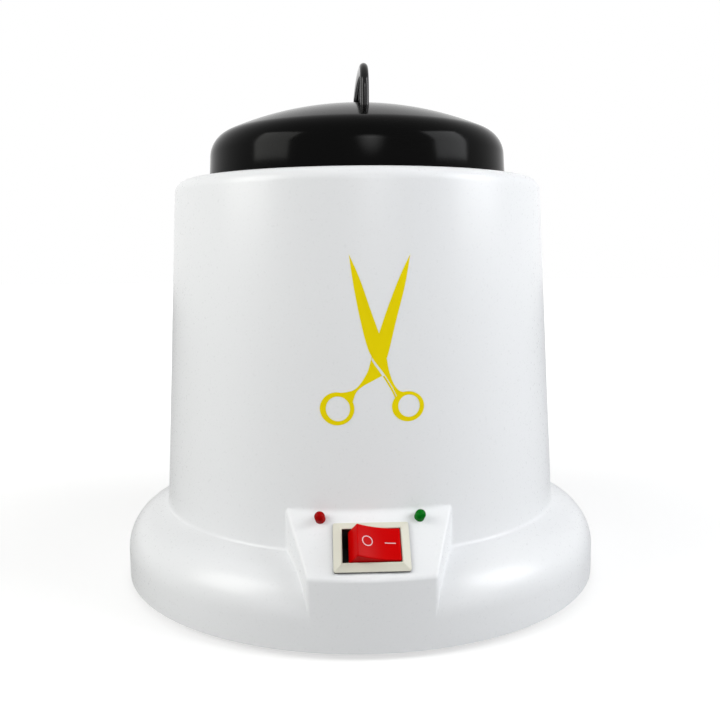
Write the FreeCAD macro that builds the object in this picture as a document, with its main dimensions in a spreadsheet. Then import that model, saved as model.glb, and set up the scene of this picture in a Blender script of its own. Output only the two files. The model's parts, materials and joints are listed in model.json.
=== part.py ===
import FreeCAD, Part
import math
import os

import Sketcher

# Driving dimensions, in millimetres and degrees. Heights of the housing and of what hangs in it are
# counted from the housing's lower edge, which the feet hold foot_lift above the bench.
SIZES = [
    ("foot_lift", 2.0, "bench to the housing's lower edge"),
    ("shell_wall", 2.4, "wall of the moulded housing"),
    ("base_radius", 81.0, "upright wall of the brim"),
    ("shoulder_radius", 13.0, "rounding from the brim's top to its wall"),
    ("brim_slope", 23.4, "fall of the brim's top, outwards"),
    ("brim_width", 13.6, "edge of the base to the cone's foot"),
    ("crease_height", 23.1, "where the cone meets the brim"),
    ("crease_round", 1.2, "fillet in that crease"),
    ("cone_lean", 5.9, "foot of the cone to its top, inwards"),
    ("rim_height", 131.1, "top of the housing"),
    ("rim_round", 4.0, "rounded top edge"),
    ("rim_land", 10.1, "edge of the cone's top to the recess for the lid"),
    ("well_depth", 8.0, "top of the housing down to the pot's ledge"),
    ("ledge_width", 8.4, "ledge that the pot hangs from"),
    ("panel_top_height", 35.2, "where the console's panel leaves the cone"),
    ("panel_slope", 45.6, "fall of the console's panel"),
    ("panel_edge_round", 2.0, "rounding from the panel to the console's front"),
    ("console_back_half", 23.8, "half width of the console at the cone"),
    ("console_root", 4.9, "where that width is, inside the cone's foot"),
    ("console_front_half", 17.0, "half width of the console at its front"),
    ("console_edge_round", 1.2, "rounded side edges of the console"),
    ("seat_depth", 0.9, "flat for the switch, below the panel's crown"),
    ("seat_margin", 0.4, "flat beyond the bezel, up and down the panel"),
    ("switch_reach", 10.8, "switch centre, down the panel from its top"),
    ("flange_half_width", 10.5, "bezel of the switch"),
    ("flange_half_length", 7.2, "bezel of the switch"),
    ("flange_thickness", 2.2, "bezel of the switch"),
    ("flange_bevel", 1.0, "bevelled border of the bezel"),
    ("cutout_half_width", 9.6, "hole in the panel"),
    ("cutout_half_length", 6.45, "hole in the panel"),
    ("snap_clearance", 0.1, "switch body in its hole"),
    ("switch_depth", 13.0, "switch body behind the panel"),
    ("window_half_width", 8.05, "opening that holds the rocker"),
    ("window_half_length", 4.95, "opening that holds the rocker"),
    ("window_depth", 9.0, "opening that holds the rocker"),
    ("rocker_tilt", 17.0, "rocker to each side of its middle"),
    ("rocker_half_width", 6.25, "peak of the rocker from its middle"),
    ("rocker_peak", 6.7, "peak of the rocker above its pivot"),
    ("rocker_sag", 1.0, "hollow of the rocker's top"),
    ("rocker_side_gap", 0.25, "rocker beside the window's long walls"),
    ("pivot_depth", 4.2, "pivot below the bezel's face"),
    ("trunnion_radius", 1.2, "pivots of the rocker"),
    ("trunnion_clearance", 0.05, "pivots in their holes"),
    ("trunnion_length", 1.1, "pivots of the rocker"),
    ("lamp_reach", 2.6, "lamp centre, down the panel from its top"),
    ("lamp_side", 13.9, "lamp centre, from the middle of the console"),
    ("lamp_radius", 1.5, "lens of a lamp"),
    ("lamp_proud", 3.0, "lens above the panel"),
    ("lamp_clearance", 0.05, "lens in its hole"),
    ("lamp_wall", 1.3, "panel left at a lamp"),
    ("lamp_collar", 1.9, "collar of a lamp, behind the panel"),
    ("lamp_collar_depth", 1.0, "collar of a lamp, behind the panel"),
    ("lid_gap", 0.9, "lid inside its recess"),
    ("lid_draft", 3.2, "taper of the lid's side"),
    ("lid_side_height", 8.4, "side of the lid above the housing's top"),
    ("lid_shoulder", 9.0, "rounding from the lid's side to its dome"),
    ("dome_radius", 110.0, "dome of the lid"),
    ("lid_wall", 2.0, "wall of the lid"),
    ("handle_wire", 1.35, "half thickness of the handle's wire"),
    ("handle_reach", 30.0, "legs of the handle from the axis"),
    ("handle_aside", 1.3, "plane of the handle from the middle of the lid"),
    ("handle_leg", 4.8, "straight leg above the dome"),
    ("handle_bend", 7.5, "bend from leg to grip"),
    ("handle_rise", 9.0, "crown of the grip above the end of the legs"),
    ("handle_thread", 6.0, "end of a leg inside the lid"),
    ("pot_gap", 2.8, "pot inside the hole through the ledge"),
    ("pot_wall", 1.2, "sheet of the pot"),
    ("pot_depth", 65.0, "flange to the pot's floor"),
    ("pot_corner", 6.0, "inside corner of the pot"),
    ("flange_gap", 0.5, "pot's flange inside the recess"),
    ("ring_thickness", 2.0, "insulating ring under the flange"),
    ("pot_screw_edge", 4.7, "screws from the edge of the pot's flange"),
    ("pot_screw_radius", 1.5, "shank of a pot screw"),
    ("band_thickness", 3.2, "heater band"),
    ("band_height", 32.0, "heater band"),
    ("band_drop", 22.0, "flange to the heater band"),
    ("band_gap", 7.0, "gap between the band's ears"),
    ("ear_reach", 7.0, "ears of the heater band"),
    ("ear_thickness", 1.2, "ears of the heater band"),
    ("fit_gap", 0.1, "pieces that slide over one another"),
    ("wool_thickness", 6.0, "insulation sleeve"),
    ("wool_drop", 12.0, "flange to the insulation"),
    ("shield_gap", 1.0, "heat shield outside the recess for the lid"),
    ("shield_wall", 0.8, "sheet of the heat shield"),
    ("shield_drop", 12.0, "housing's top to the shield's flange"),
    ("shield_bottom", 49.0, "heat shield's floor"),
    ("shield_lip", 6.6, "heat shield's flange beyond its inside"),
    ("shield_hole", 20.0, "hole in the shield's floor"),
    ("shield_screw_reach", 3.9, "shield's screws beyond its inside"),
    ("plate_step", 0.8, "base plate above the housing's lower edge"),
    ("plate_thickness", 2.5, "base plate"),
    ("plate_clearance", 0.3, "base plate inside the brim"),
    ("post_edge", 15.0, "screw posts from the edge of the base"),
    ("post_radius", 4.0, "screw post"),
    ("post_height", 21.0, "top of a screw post"),
    ("post_angle", 20.0, "posts to each side of the X axis"),
    ("pilot_radius", 1.3, "hole in a post"),
    ("foot_edge", 17.0, "feet from the edge of the base"),
    ("foot_angle", 50.0, "feet to each side of the X axis"),
    ("foot_radius", 7.0, "rubber foot"),
    ("foot_recess", 0.8, "recess that holds a foot"),
    ("gland_height", 36.0, "cord entry"),
    ("gland_pad_radius", 9.5, "flat pad round the cord entry"),
    ("gland_pad_step", 1.0, "face of that pad beyond the cone's foot"),
    ("gland_pad_thickness", 4.8, "face of that pad to its back inside the wall"),
    ("gland_flange", 8.0, "collar of the cord gland"),
    ("gland_collar", 2.4, "collar of the cord gland"),
    ("gland_body", 5.6, "neck of the cord gland"),
    ("gland_bore", 3.4, "bore for the cord"),
    ("gland_tail", 6.0, "gland inside the housing"),
    ("block_width", 30.0, "terminal block"),
    ("block_depth", 17.0, "terminal block"),
    ("block_height", 13.0, "terminal block"),
    ("block_reach", 30.0, "terminal block behind the axis"),
    ("board_width", 40.0, "indicator board"),
    ("board_depth", 18.0, "indicator board"),
    ("board_thickness", 1.6, "indicator board"),
    ("board_reach", 22.0, "indicator board before the axis"),
    ("board_stand", 5.0, "posts under the board"),
    ("bezel_land", 0.4, "level border of the window in the bezel"),
    ("latch", 0.5, "snap latch of the switch beyond its body"),
    ("terminal_spread", 5.0, "blades of the switch from its middle"),
    ("blade_half_width", 2.4, "blade terminal"),
    ("blade_half_thickness", 0.45, "slot of a blade terminal"),
    ("blade_gap", 0.05, "blade in its slot"),
    ("blade_seat", 2.0, "blade inside the switch body"),
    ("blade_length", 8.0, "blade behind the switch body"),
    ("rocker_flare", 0.65, "rocker wider at its skirt than at its peak"),
    ("rocker_skirt", 0.6, "skirt of the rocker above its pivot"),
    ("rocker_nose", 3.8, "lowest point of the rocker below its pivot"),
    ("rocker_nose_half", 2.5, "flat under the rocker"),
    ("rocker_edge_round", 0.5, "rounded edges of the rocker"),
    ("lead_radius", 0.25, "lead of a lamp or a resistor"),
    ("lead_length", 9.0, "lead of a lamp"),
    ("lead_spread", 1.0, "leads of a lamp from its axis"),
    ("handle_fit", 0.1, "handle wire in the lid"),
    ("washer_radius", 3.4, "washer inside the lid"),
    ("washer_thickness", 0.6, "washer inside the lid"),
    ("thread_gap", 0.05, "thread in its hole"),
    ("pot_lip", 1.5, "rounded lip of the pot"),
    ("stud_length", 8.0, "studs welded under the pot"),
    ("stud_spread", 12.0, "studs from the axis"),
    ("ring_gap", 0.4, "insulating ring round the pot"),
    ("ear_half_height", 6.0, "ears of the heater band"),
    ("stud_offset", 13.0, "terminal studs of the band from its middle"),
    ("wool_opening_half", 18.0, "opening of the insulation at the ears"),
    ("lead_hole", 3.0, "holes for leads in the shield's floor"),
    ("lead_hole_circle", 36.0, "circle of those holes"),
    ("stat_plate", 0.8, "mounting ears of the thermostat"),
    ("stat_ear", 4.0, "half width of those ears"),
    ("stat_radius", 8.2, "metal cap of the thermostat"),
    ("stat_cap", 3.4, "metal cap of the thermostat"),
    ("stat_step", 0.5, "body smaller than the cap"),
    ("stat_height", 5.2, "body of the thermostat"),
    ("stat_blade_spread", 3.6, "blades of the thermostat"),
    ("clip_thickness", 0.5, "strip of the fuse clip"),
    ("clip_half", 3.5, "half width of that strip"),
    ("clip_reach", 6.5, "fuse beyond the stud"),
    ("fuse_radius", 2.0, "thermal fuse"),
    ("fuse_length", 11.0, "thermal fuse"),
    ("vent_width", 3.0, "vent slot in the base plate"),
    ("vent_edge", 27.0, "vent slots from the edge of the base"),
    ("vent_length", 10.0, "vent slot in the base plate"),
    ("stand_radius", 3.5, "posts on the base plate"),
    ("board_screw_spread", 16.0, "screws of the board"),
    ("base_screw_bite", 9.0, "base screw in its post"),
    ("pole_pitch", 10.0, "poles of the terminal block"),
    ("entry_radius", 2.0, "wire entry and screw well"),
    ("well_offset", 4.5, "screw wells from the block's middle"),
    ("block_screw_spread", 5.0, "screws of the block, between its poles"),
    ("resistor_radius", 1.6, "resistor"),
    ("resistor_length", 9.0, "resistor"),
    ("m3_radius", 1.5, "three millimetre screw"),
    ("m3_head", 2.8, "three millimetre screw"),
    ("m3_head_height", 2.0, "three millimetre screw"),
    ("m3_nut", 3.0, "nut, centre to corner"),
    ("m3_nut_height", 2.4, "nut"),
]

SHEET = "Dimensions"
POT_ANGLES = (45, 135, 225, 315)
SHIELD_ANGLES = (30, 150, 270)
VENTS = 24
ABOVE = 5.0
INSIDE = 50.0


def formula(value):
    """Text of a size or of a plain number, for an expression."""
    if isinstance(value, Size):
        return value.text
    return repr(float(value))


class Size(float):
    """A length or an angle that carries the sheet formula it comes from."""

    def __new__(cls, value, text):
        size = float.__new__(cls, value)
        size.text = text
        return size

    def __add__(self, other):
        return Size(float(self) + float(other), f"({self.text} + {formula(other)})")

    def __radd__(self, other):
        return Size(float(other) + float(self), f"({formula(other)} + {self.text})")

    def __sub__(self, other):
        return Size(float(self) - float(other), f"({self.text} - {formula(other)})")

    def __rsub__(self, other):
        return Size(float(other) - float(self), f"({formula(other)} - {self.text})")

    def __mul__(self, other):
        return Size(float(self) * float(other), f"({self.text} * {formula(other)})")

    __rmul__ = __mul__

    def __truediv__(self, other):
        return Size(float(self) / float(other), f"({self.text} / {formula(other)})")

    def __neg__(self):
        return Size(-float(self), f"(0 - {self.text})")


def sine(angle):
    return Size(math.sin(math.radians(angle)), f"sin({formula(angle)})")


def cosine(angle):
    return Size(math.cos(math.radians(angle)), f"cos({formula(angle)})")


def tangent(angle):
    return Size(math.tan(math.radians(angle)), f"tan({formula(angle)})")


def arcsine(value):
    return Size(math.degrees(math.asin(value)), f"(asin({formula(value)}) / 1deg)")


def arctangent(value):
    return Size(math.degrees(math.atan(value)), f"(atan({formula(value)}) / 1deg)")


def root(value):
    return Size(math.sqrt(value), f"sqrt({formula(value)})")


class Sizes:
    """The cells of the sheet, by name."""


def fill_sheet(document):
    sheet = document.addObject("Spreadsheet::Sheet", SHEET)
    sizes = Sizes()
    for row, (name, value, meaning) in enumerate(SIZES, start=1):
        sheet.set(f"A{row}", meaning)
        sheet.set(f"B{row}", str(value))
        sheet.setAlias(f"B{row}", name)
        setattr(sizes, name, Size(value, f"{SHEET}.{name}"))
    return sizes


doc = FreeCAD.newDocument("nail_tool_sterilizer")
d = fill_sheet(doc)
doc.recompute()
nodes = {}


# Circles that follow from the base's radius, from the outside inwards

d.crease_radius = d.base_radius - d.brim_width
d.rim_radius = d.crease_radius - d.cone_lean
d.well_radius = d.rim_radius - d.rim_land
d.lid_radius = d.well_radius - d.lid_gap
d.flange_radius = d.well_radius - d.flange_gap
d.ledge_radius = d.well_radius - d.ledge_width
d.pot_radius = d.ledge_radius - d.pot_gap - d.pot_wall
d.pot_screw_circle = d.flange_radius - d.pot_screw_edge
d.shield_radius = d.well_radius + d.shield_gap
d.shield_flange = d.shield_radius + d.shield_lip
d.shield_screw_circle = d.shield_radius + d.shield_screw_reach
d.console_back_reach = d.crease_radius - d.console_root
d.post_circle = d.base_radius - d.post_edge
d.foot_circle = d.base_radius - d.foot_edge
d.gland_pad_reach = d.crease_radius + d.gland_pad_step
d.vent_outer = d.base_radius - d.vent_edge
d.vent_inner = d.vent_outer - d.vent_length


# Drawing and feature helpers

def vector(x, y, z=0.0):
    return FreeCAD.Vector(float(x), float(y), float(z))


def bind(thing, name, value):
    """Give a property its value and the formula that it comes from."""
    if "." not in name:
        setattr(thing, name, float(value))
    if isinstance(value, Size):
        thing.setExpression(name, value.text)


def place(thing, x=0.0, y=0.0, z=0.0, axis=(0, 0, 1), angle=0.0):
    """Set a placement, with its numbers tied to the sheet."""
    turn = FreeCAD.Rotation(vector(*axis), float(angle))
    thing.Placement = FreeCAD.Placement(vector(x, y, z), turn)
    for name, value in (("x", x), ("y", y), ("z", z)):
        bind(thing, f"Placement.Base.{name}", value)
    bind(thing, "Placement.Rotation.Angle", angle)
    return thing


def new_body(name):
    return doc.addObject("PartDesign::Body", name)


def new_sketch(body, plane, offset=0.0):
    """A sketch on one of the body's own planes, or parallel to it."""
    sketch = body.newObject("Sketcher::SketchObject", f"{body.Name}_outline")
    support = [feature for feature in body.Origin.OriginFeatures if feature.Role == plane]
    sketch.AttachmentSupport = [(support[0], "")]
    sketch.MapMode = "FlatFace"
    sketch.AttachmentOffset = FreeCAD.Placement(vector(0, 0, offset), FreeCAD.Rotation())
    bind(sketch, "AttachmentOffset.Base.z", offset)
    return sketch


def hold(sketch, kind, value, *where):
    """One dimension of the sketch."""
    index = sketch.addConstraint(Sketcher.Constraint(kind, *where, float(value)))
    if isinstance(value, Size):
        sketch.setExpression(f"Constraints[{index}]", value.text)


def pin_point(sketch, edge, end, x, y):
    """Dimension a point of the sketch from the sketch's origin."""
    for kind, value, axis in (("DistanceX", x, -2), ("DistanceY", y, -1)):
        if isinstance(value, Size) or value != 0:
            hold(sketch, kind, value, -1, 1, edge, end)
        else:
            sketch.addConstraint(Sketcher.Constraint("PointOnObject", edge, end, axis))


def arc_middle(start, finish, radius):
    """Middle point of the short arc; its centre is on the left where radius is positive."""
    chord = finish - start
    half = chord.Length / 2
    rise = abs(radius) - math.sqrt(radius * radius - half * half)
    side = vector(chord.y, -chord.x).normalize()
    if radius < 0:
        side = -side
    return (start + finish) / 2 + side * rise


def draw(sketch, corners):
    """A closed outline. A corner is x, y and, where an arc leaves it, that arc's radius."""
    points = [vector(corner[0], corner[1]) for corner in corners]
    starts = []
    ends = []
    for number, corner in enumerate(corners):
        start = points[number]
        finish = points[(number + 1) % len(points)]
        if len(corner) == 3:
            middle = arc_middle(start, finish, float(corner[2]))
            edge = sketch.addGeometry(Part.Arc(start, middle, finish))
        else:
            edge = sketch.addGeometry(Part.LineSegment(start, finish))
        first = 1 if sketch.getPoint(edge, 1).distanceToPoint(start) < 1e-6 else 2
        starts.append((edge, first))
        ends.append((edge, 3 - first))
    for number, corner in enumerate(corners):
        following = (number + 1) % len(corners)
        sketch.addConstraint(Sketcher.Constraint("Coincident", *ends[number], *starts[following]))
        pin_point(sketch, *starts[number], corner[0], corner[1])
        if len(corner) == 3:
            size = corner[2] if float(corner[2]) > 0 else -corner[2]
            hold(sketch, "Radius", size, starts[number][0])


def draw_circle(sketch, x, y, radius):
    edge = sketch.addGeometry(Part.Circle(vector(x, y), vector(0, 0, 1), float(radius)))
    pin_point(sketch, edge, 3, x, y)
    hold(sketch, "Radius", radius, edge)


def revolve(body, sketch):
    feature = body.newObject("PartDesign::Revolution", f"{body.Name}_turned")
    feature.Profile = sketch
    feature.ReferenceAxis = (sketch, ["V_Axis"])
    feature.Angle = 360
    return feature


def turned(name, corners):
    """A body of revolution about its Z axis, from its half section in radius and height."""
    body = new_body(name)
    sketch = new_sketch(body, "XZ_Plane")
    draw(sketch, corners)
    revolve(body, sketch)
    return body


def padded(name, plane, corners, length, offset=0.0, symmetric=False):
    """An outline given a thickness, on the side that the plane's normal points to."""
    body = new_body(name)
    sketch = new_sketch(body, plane, offset)
    draw(sketch, corners)
    feature = body.newObject("PartDesign::Pad", f"{name}_pad")
    feature.Profile = sketch
    if symmetric:
        feature.SideType = "Symmetric"
    bind(feature, "Length", length)
    return body


def box(name, x, y, z):
    """A block from its low and high faces along each axis."""
    block = doc.addObject("Part::Box", name)
    bind(block, "Length", x[1] - x[0])
    bind(block, "Width", y[1] - y[0])
    bind(block, "Height", z[1] - z[0])
    return place(block, x[0], y[0], z[0])


def rod(name, radius, length, x=0.0, y=0.0, z=0.0, axis=(0, 0, 1), angle=0.0):
    cylinder = doc.addObject("Part::Cylinder", name)
    bind(cylinder, "Radius", radius)
    bind(cylinder, "Height", length)
    return place(cylinder, x, y, z, axis, angle)


def fuse(name, *members):
    feature = doc.addObject("Part::MultiFuse", name)
    feature.Shapes = list(members)
    feature.Refine = True
    return feature


def cut(name, base, *tools):
    feature = doc.addObject("Part::Cut", name)
    feature.Base = base
    feature.Tool = tools[0] if len(tools) == 1 else fuse(f"{name}_tools", *tools)
    feature.Refine = True
    return feature


def common(name, *members):
    feature = doc.addObject("Part::MultiCommon", name)
    feature.Shapes = list(members)
    return feature


def group(name, *members):
    """Several separate solids that share one node, or one piece in a turned holder."""
    feature = doc.addObject("Part::Compound", name)
    feature.Links = list(members)
    return feature


def copy_of(thing, x=0.0, y=0.0, z=0.0, axis=(0, 0, 1), angle=0.0):
    link = doc.addObject("App::Link", f"{thing.Name}_copy")
    link.LinkedObject = thing
    link.LinkTransform = True
    return place(link, x, y, z, axis, angle)


def on_circle(thing, radius, angles, z=0.0):
    """Copies of a piece round the Z axis."""
    copies = []
    for angle in angles:
        copies.append(copy_of(thing, radius * cosine(angle), radius * sine(angle), z, angle=angle))
    return copies


def chain_fillet(name, base, radius, chosen):
    """Round the edges whose points all satisfy the test."""
    doc.recompute()
    edges = []
    for number, edge in enumerate(base.Shape.Edges, start=1):
        points = [edge.valueAt(edge.FirstParameter + share * (edge.LastParameter - edge.FirstParameter))
                  for share in (0.0, 0.25, 0.5, 0.75, 1.0)]
        if chosen(points):
            edges.append((number, float(radius), float(radius)))
    feature = doc.addObject("Part::Fillet", name)
    feature.Base = base
    feature.Edges = edges
    return feature


def node(name, thing, z=0.0):
    """Hand a finished piece in under its node's name, raised onto the feet."""
    if float(z) != 0:
        thing = group(f"{name}_raised", copy_of(thing, z=z))
    thing.Label = name
    nodes[name] = thing
    return thing


# Places that several pieces share

cone_taper = d.cone_lean / (d.rim_height - d.crease_height)
wall_across = d.shell_wall * root(1 + cone_taper * cone_taper)
ledge_height = d.rim_height - d.well_depth
ledge_under = ledge_height - d.shell_wall
pot_flange_under = ledge_height + d.ring_thickness
pot_top = pot_flange_under + d.pot_wall
pot_outer = d.pot_radius + d.pot_wall
pot_under = pot_top - d.pot_depth - d.pot_wall
plate_under = d.plate_step
plate_top = plate_under + d.plate_thickness
panel_fall = tangent(d.panel_slope)


def cone_at(height):
    return d.crease_radius - (height - d.crease_height) * cone_taper


def cone_inside(height):
    return cone_at(height) - wall_across


def both_sides(angle):
    """The same angle each side of the X axis, at its two ends."""
    return (angle, 180 - angle, 180 + angle, 360 - angle)


d.panel_top_radius = cone_at(d.panel_top_height)
seat_radius = (d.panel_top_radius + d.switch_reach * cosine(d.panel_slope)
               - d.seat_depth * sine(d.panel_slope))
seat_height = (d.panel_top_height - d.switch_reach * sine(d.panel_slope)
               - d.seat_depth * cosine(d.panel_slope))


def on_panel(thing):
    """Seat a piece drawn with its Z along the panel's normal and its Y up the slope."""
    return place(thing, 0.0, -seat_radius, seat_height, (1, 0, 0), d.panel_slope)


def panel_group(name, *things):
    return on_panel(group(name, *things))


def lamp_pair(name, thing):
    """A piece drawn along the panel's normal, at each lamp."""
    reach = d.panel_top_radius + d.lamp_reach * cosine(d.panel_slope)
    height = d.panel_top_height - d.lamp_reach * sine(d.panel_slope)
    place(thing, 0.0, -reach, height, (1, 0, 0), d.panel_slope)
    turn = arcsine(d.lamp_side / reach)
    left = place(group(f"{name}_left", thing), axis=(0, 0, -1), angle=turn)
    right = place(group(f"{name}_right", thing), angle=turn)
    return left, right


def lamp_hole():
    """Hole for the lens, opened out behind for its collar."""
    bore = rod("lamp_bore", d.lamp_radius + d.lamp_clearance, 2 * d.shell_wall + ABOVE, 0.0, 0.0,
               -d.shell_wall - ABOVE / 2)
    pocket = rod("lamp_pocket", d.lamp_collar + d.fit_gap, ABOVE, 0.0, 0.0, -d.lamp_wall - ABOVE)
    return group("lamp_hole", fuse("lamp_hole_form", bore, pocket))


# Housing: one shell moulded with its brim, cone, console, well for the lid, posts and pads

def brim_corners(radius_wall, shoulder, crease, rest):
    """Half section from the lower edge up over the shoulder to the crease."""
    centre_radius = d.base_radius - d.shoulder_radius
    centre_height = (d.crease_height - (centre_radius - d.crease_radius) * tangent(d.brim_slope)
                     - d.shoulder_radius / cosine(d.brim_slope))
    leave = (centre_radius + shoulder * sine(d.brim_slope), centre_height + shoulder * cosine(d.brim_slope))
    return [(radius_wall, centre_height, shoulder), leave, crease] + rest


def console_height_low():
    centre_radius = d.base_radius - d.shoulder_radius
    return (d.crease_height - (centre_radius - d.crease_radius) * tangent(d.brim_slope)
            - d.shoulder_radius / cosine(d.brim_slope))


def console_half(reach, inset):
    """Half width of the console at a distance from the axis."""
    taper = (d.console_back_half - d.console_front_half) / (d.base_radius - d.console_back_reach)
    return d.console_back_half - (reach - d.console_back_reach) * taper - inset * root(1 + taper * taper)


def console_block(name, inset):
    """The console's wedge: a turned panel cut to width by two upright planes."""
    low = console_height_low()
    front = d.base_radius - inset
    top_at_edge = (d.panel_top_height - (front - d.panel_top_radius) * panel_fall
                   - inset / cosine(d.panel_slope))
    if inset == 0:
        along = d.panel_edge_round * tangent((90 - d.panel_slope) / 2)
        edge = [(front, top_at_edge - along, d.panel_edge_round),
                (front - along * cosine(d.panel_slope), top_at_edge + along * sine(d.panel_slope))]
        top = (d.panel_top_radius, d.panel_top_height)
    else:
        line = d.panel_top_height + d.panel_top_radius * panel_fall - inset / cosine(d.panel_slope)
        start = d.crease_radius + cone_taper * d.crease_height - wall_across
        meet = (start - cone_taper * line) / (1 - cone_taper * panel_fall)
        edge = [(front, top_at_edge)]
        top = (meet, line - meet * panel_fall)
    ring = turned(f"{name}_ring", [(INSIDE, low), (front, low)] + edge + [top, (INSIDE, top[1])])
    far = d.base_radius + ABOVE
    outline = [(-console_half(INSIDE, inset), -INSIDE), (-console_half(far, inset), -far),
               (console_half(far, inset), -far), (console_half(INSIDE, inset), -INSIDE)]
    wedge = padded(f"{name}_wedge", "XY_Plane", outline, d.panel_top_height + ABOVE)
    return common(name, ring, wedge)


def rounded_console():
    block = console_block("console", 0)
    low = float(console_height_low())
    high = float(d.panel_top_height)

    def on_side(points):
        aside = all(abs(abs(p.x) - float(console_half(-p.y, 0))) < 1e-3 for p in points)
        level = max(p.z for p in points) - min(p.z for p in points) < 1e-3
        inner = all(p.y > -INSIDE - 1 for p in points)
        at_end = level and (points[0].z < low + 1e-3 or points[0].z > high - 1e-3)
        return aside and not inner and not at_end

    return chain_fillet("console_rounded", block, d.console_edge_round, on_side)


def housing():
    lean = arctangent(cone_taper)
    notch = d.crease_round / tangent((90 + lean + d.brim_slope) / 2)
    corner = d.rim_round * tangent((90 - lean) / 2)
    outer = turned("housing_form", [(0, 0), (d.base_radius, 0)] + brim_corners(
        d.base_radius, d.shoulder_radius,
        (d.crease_radius + notch * cosine(d.brim_slope), d.crease_height - notch * sine(d.brim_slope),
         -d.crease_round),
        [(d.crease_radius - notch * sine(lean), d.crease_height + notch * cosine(lean)),
         (d.rim_radius + corner * sine(lean), d.rim_height - corner * cosine(lean), d.rim_round),
         (d.rim_radius - corner, d.rim_height), (0, d.rim_height)]))
    rise = (d.shell_wall * (tangent(d.brim_slope) * root(1 + cone_taper * cone_taper)
                            - 1 / cosine(d.brim_slope)) / (1 - cone_taper * tangent(d.brim_slope)))
    inner_crease = (cone_inside(d.crease_height + rise), d.crease_height + rise)
    ceiling = d.rim_height - d.shell_wall
    cup = d.well_radius + d.shell_wall
    hollow = turned("housing_hollow", [(0, -ABOVE), (d.base_radius - d.shell_wall, -ABOVE)] + brim_corners(
        d.base_radius - d.shell_wall, d.shoulder_radius - d.shell_wall, inner_crease,
        [(cone_inside(ceiling), ceiling), (cup, ceiling), (cup, ledge_under),
         (d.ledge_radius, ledge_under), (d.ledge_radius, ledge_height), (d.well_radius, ledge_height),
         (d.well_radius, d.rim_height + ABOVE), (0, d.rim_height + ABOVE)]))
    form = fuse("housing_outside", outer, rounded_console())
    space = fuse("housing_inside", hollow, console_block("console_hollow", d.shell_wall))
    shell = cut("housing_shell", form, space)

    post = rod("post", d.post_radius, d.post_height - plate_top)
    post_angles = both_sides(d.post_angle)
    boss_height = d.rim_height - d.shield_drop
    boss = rod("shield_boss", d.m3_head + 0.2, d.shield_drop - d.shell_wall / 2)
    pad = rod("gland_pad", d.gland_pad_radius, d.gland_pad_thickness, 0.0,
              d.gland_pad_reach - d.gland_pad_thickness, d.gland_height, (1, 0, 0), -90)
    joined = fuse("housing_joined", shell, pad, *on_circle(post, d.post_circle, post_angles, plate_top),
                  *on_circle(boss, d.shield_screw_circle, SHIELD_ANGLES, boss_height))

    pilot = rod("pilot", d.pilot_radius, d.plate_thickness * 4)
    shield_pilot = rod("shield_pilot", d.pilot_radius, d.shield_drop / 2)
    pot_hole = rod("pot_hole", d.pot_screw_radius + d.fit_gap, d.shell_wall + 2 * ABOVE)
    neck = rod("gland_hole", d.gland_body + d.fit_gap, d.gland_pad_thickness + 2 * ABOVE, 0.0,
               d.gland_pad_reach - d.gland_pad_thickness - ABOVE, d.gland_height, (1, 0, 0), -90)
    seat = box("switch_seat", (-1.5 * d.flange_half_width, 1.5 * d.flange_half_width),
               (-d.flange_half_length - d.seat_margin, d.flange_half_length + d.seat_margin),
               (0, d.flange_thickness * 2))
    window = box("switch_cutout", (-d.cutout_half_width, d.cutout_half_width),
                 (-d.cutout_half_length, d.cutout_half_length), (-2 * d.shell_wall, d.shell_wall))
    return cut("housing_moulding", joined,
               *on_circle(pilot, d.post_circle, post_angles, plate_top),
               *on_circle(shield_pilot, d.shield_screw_circle, SHIELD_ANGLES, boss_height - 0.01),
               *on_circle(pot_hole, d.pot_screw_circle, POT_ANGLES, ledge_under - ABOVE / 2),
               neck, panel_group("seat_turned", seat), panel_group("window_turned", window),
               *lamp_pair("lamp_holes", lamp_hole()))


# Rocker switch, drawn with Z out of the panel and Y up its slope

def bezel():
    """The flange: an upright border and a bevelled face sloping out from the window."""
    border = d.flange_thickness - d.flange_bevel
    plate = box("bezel_border", (-d.flange_half_width, d.flange_half_width),
                (-d.flange_half_length, d.flange_half_length), (0, border))
    face = doc.addObject("Part::Wedge", "bezel_face")
    bind(face, "Xmin", -d.flange_half_width)
    bind(face, "Xmax", d.flange_half_width)
    bind(face, "Zmin", -d.flange_half_length)
    bind(face, "Zmax", d.flange_half_length)
    bind(face, "X2min", -d.window_half_width - d.bezel_land)
    bind(face, "X2max", d.window_half_width + d.bezel_land)
    bind(face, "Z2min", -d.window_half_length - d.bezel_land)
    bind(face, "Z2max", d.window_half_length + d.bezel_land)
    bind(face, "Ymin", 0.0)
    bind(face, "Ymax", d.flange_bevel)
    place(face, 0.0, 0.0, border, (1, 0, 0), 90)
    return plate, face


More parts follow.
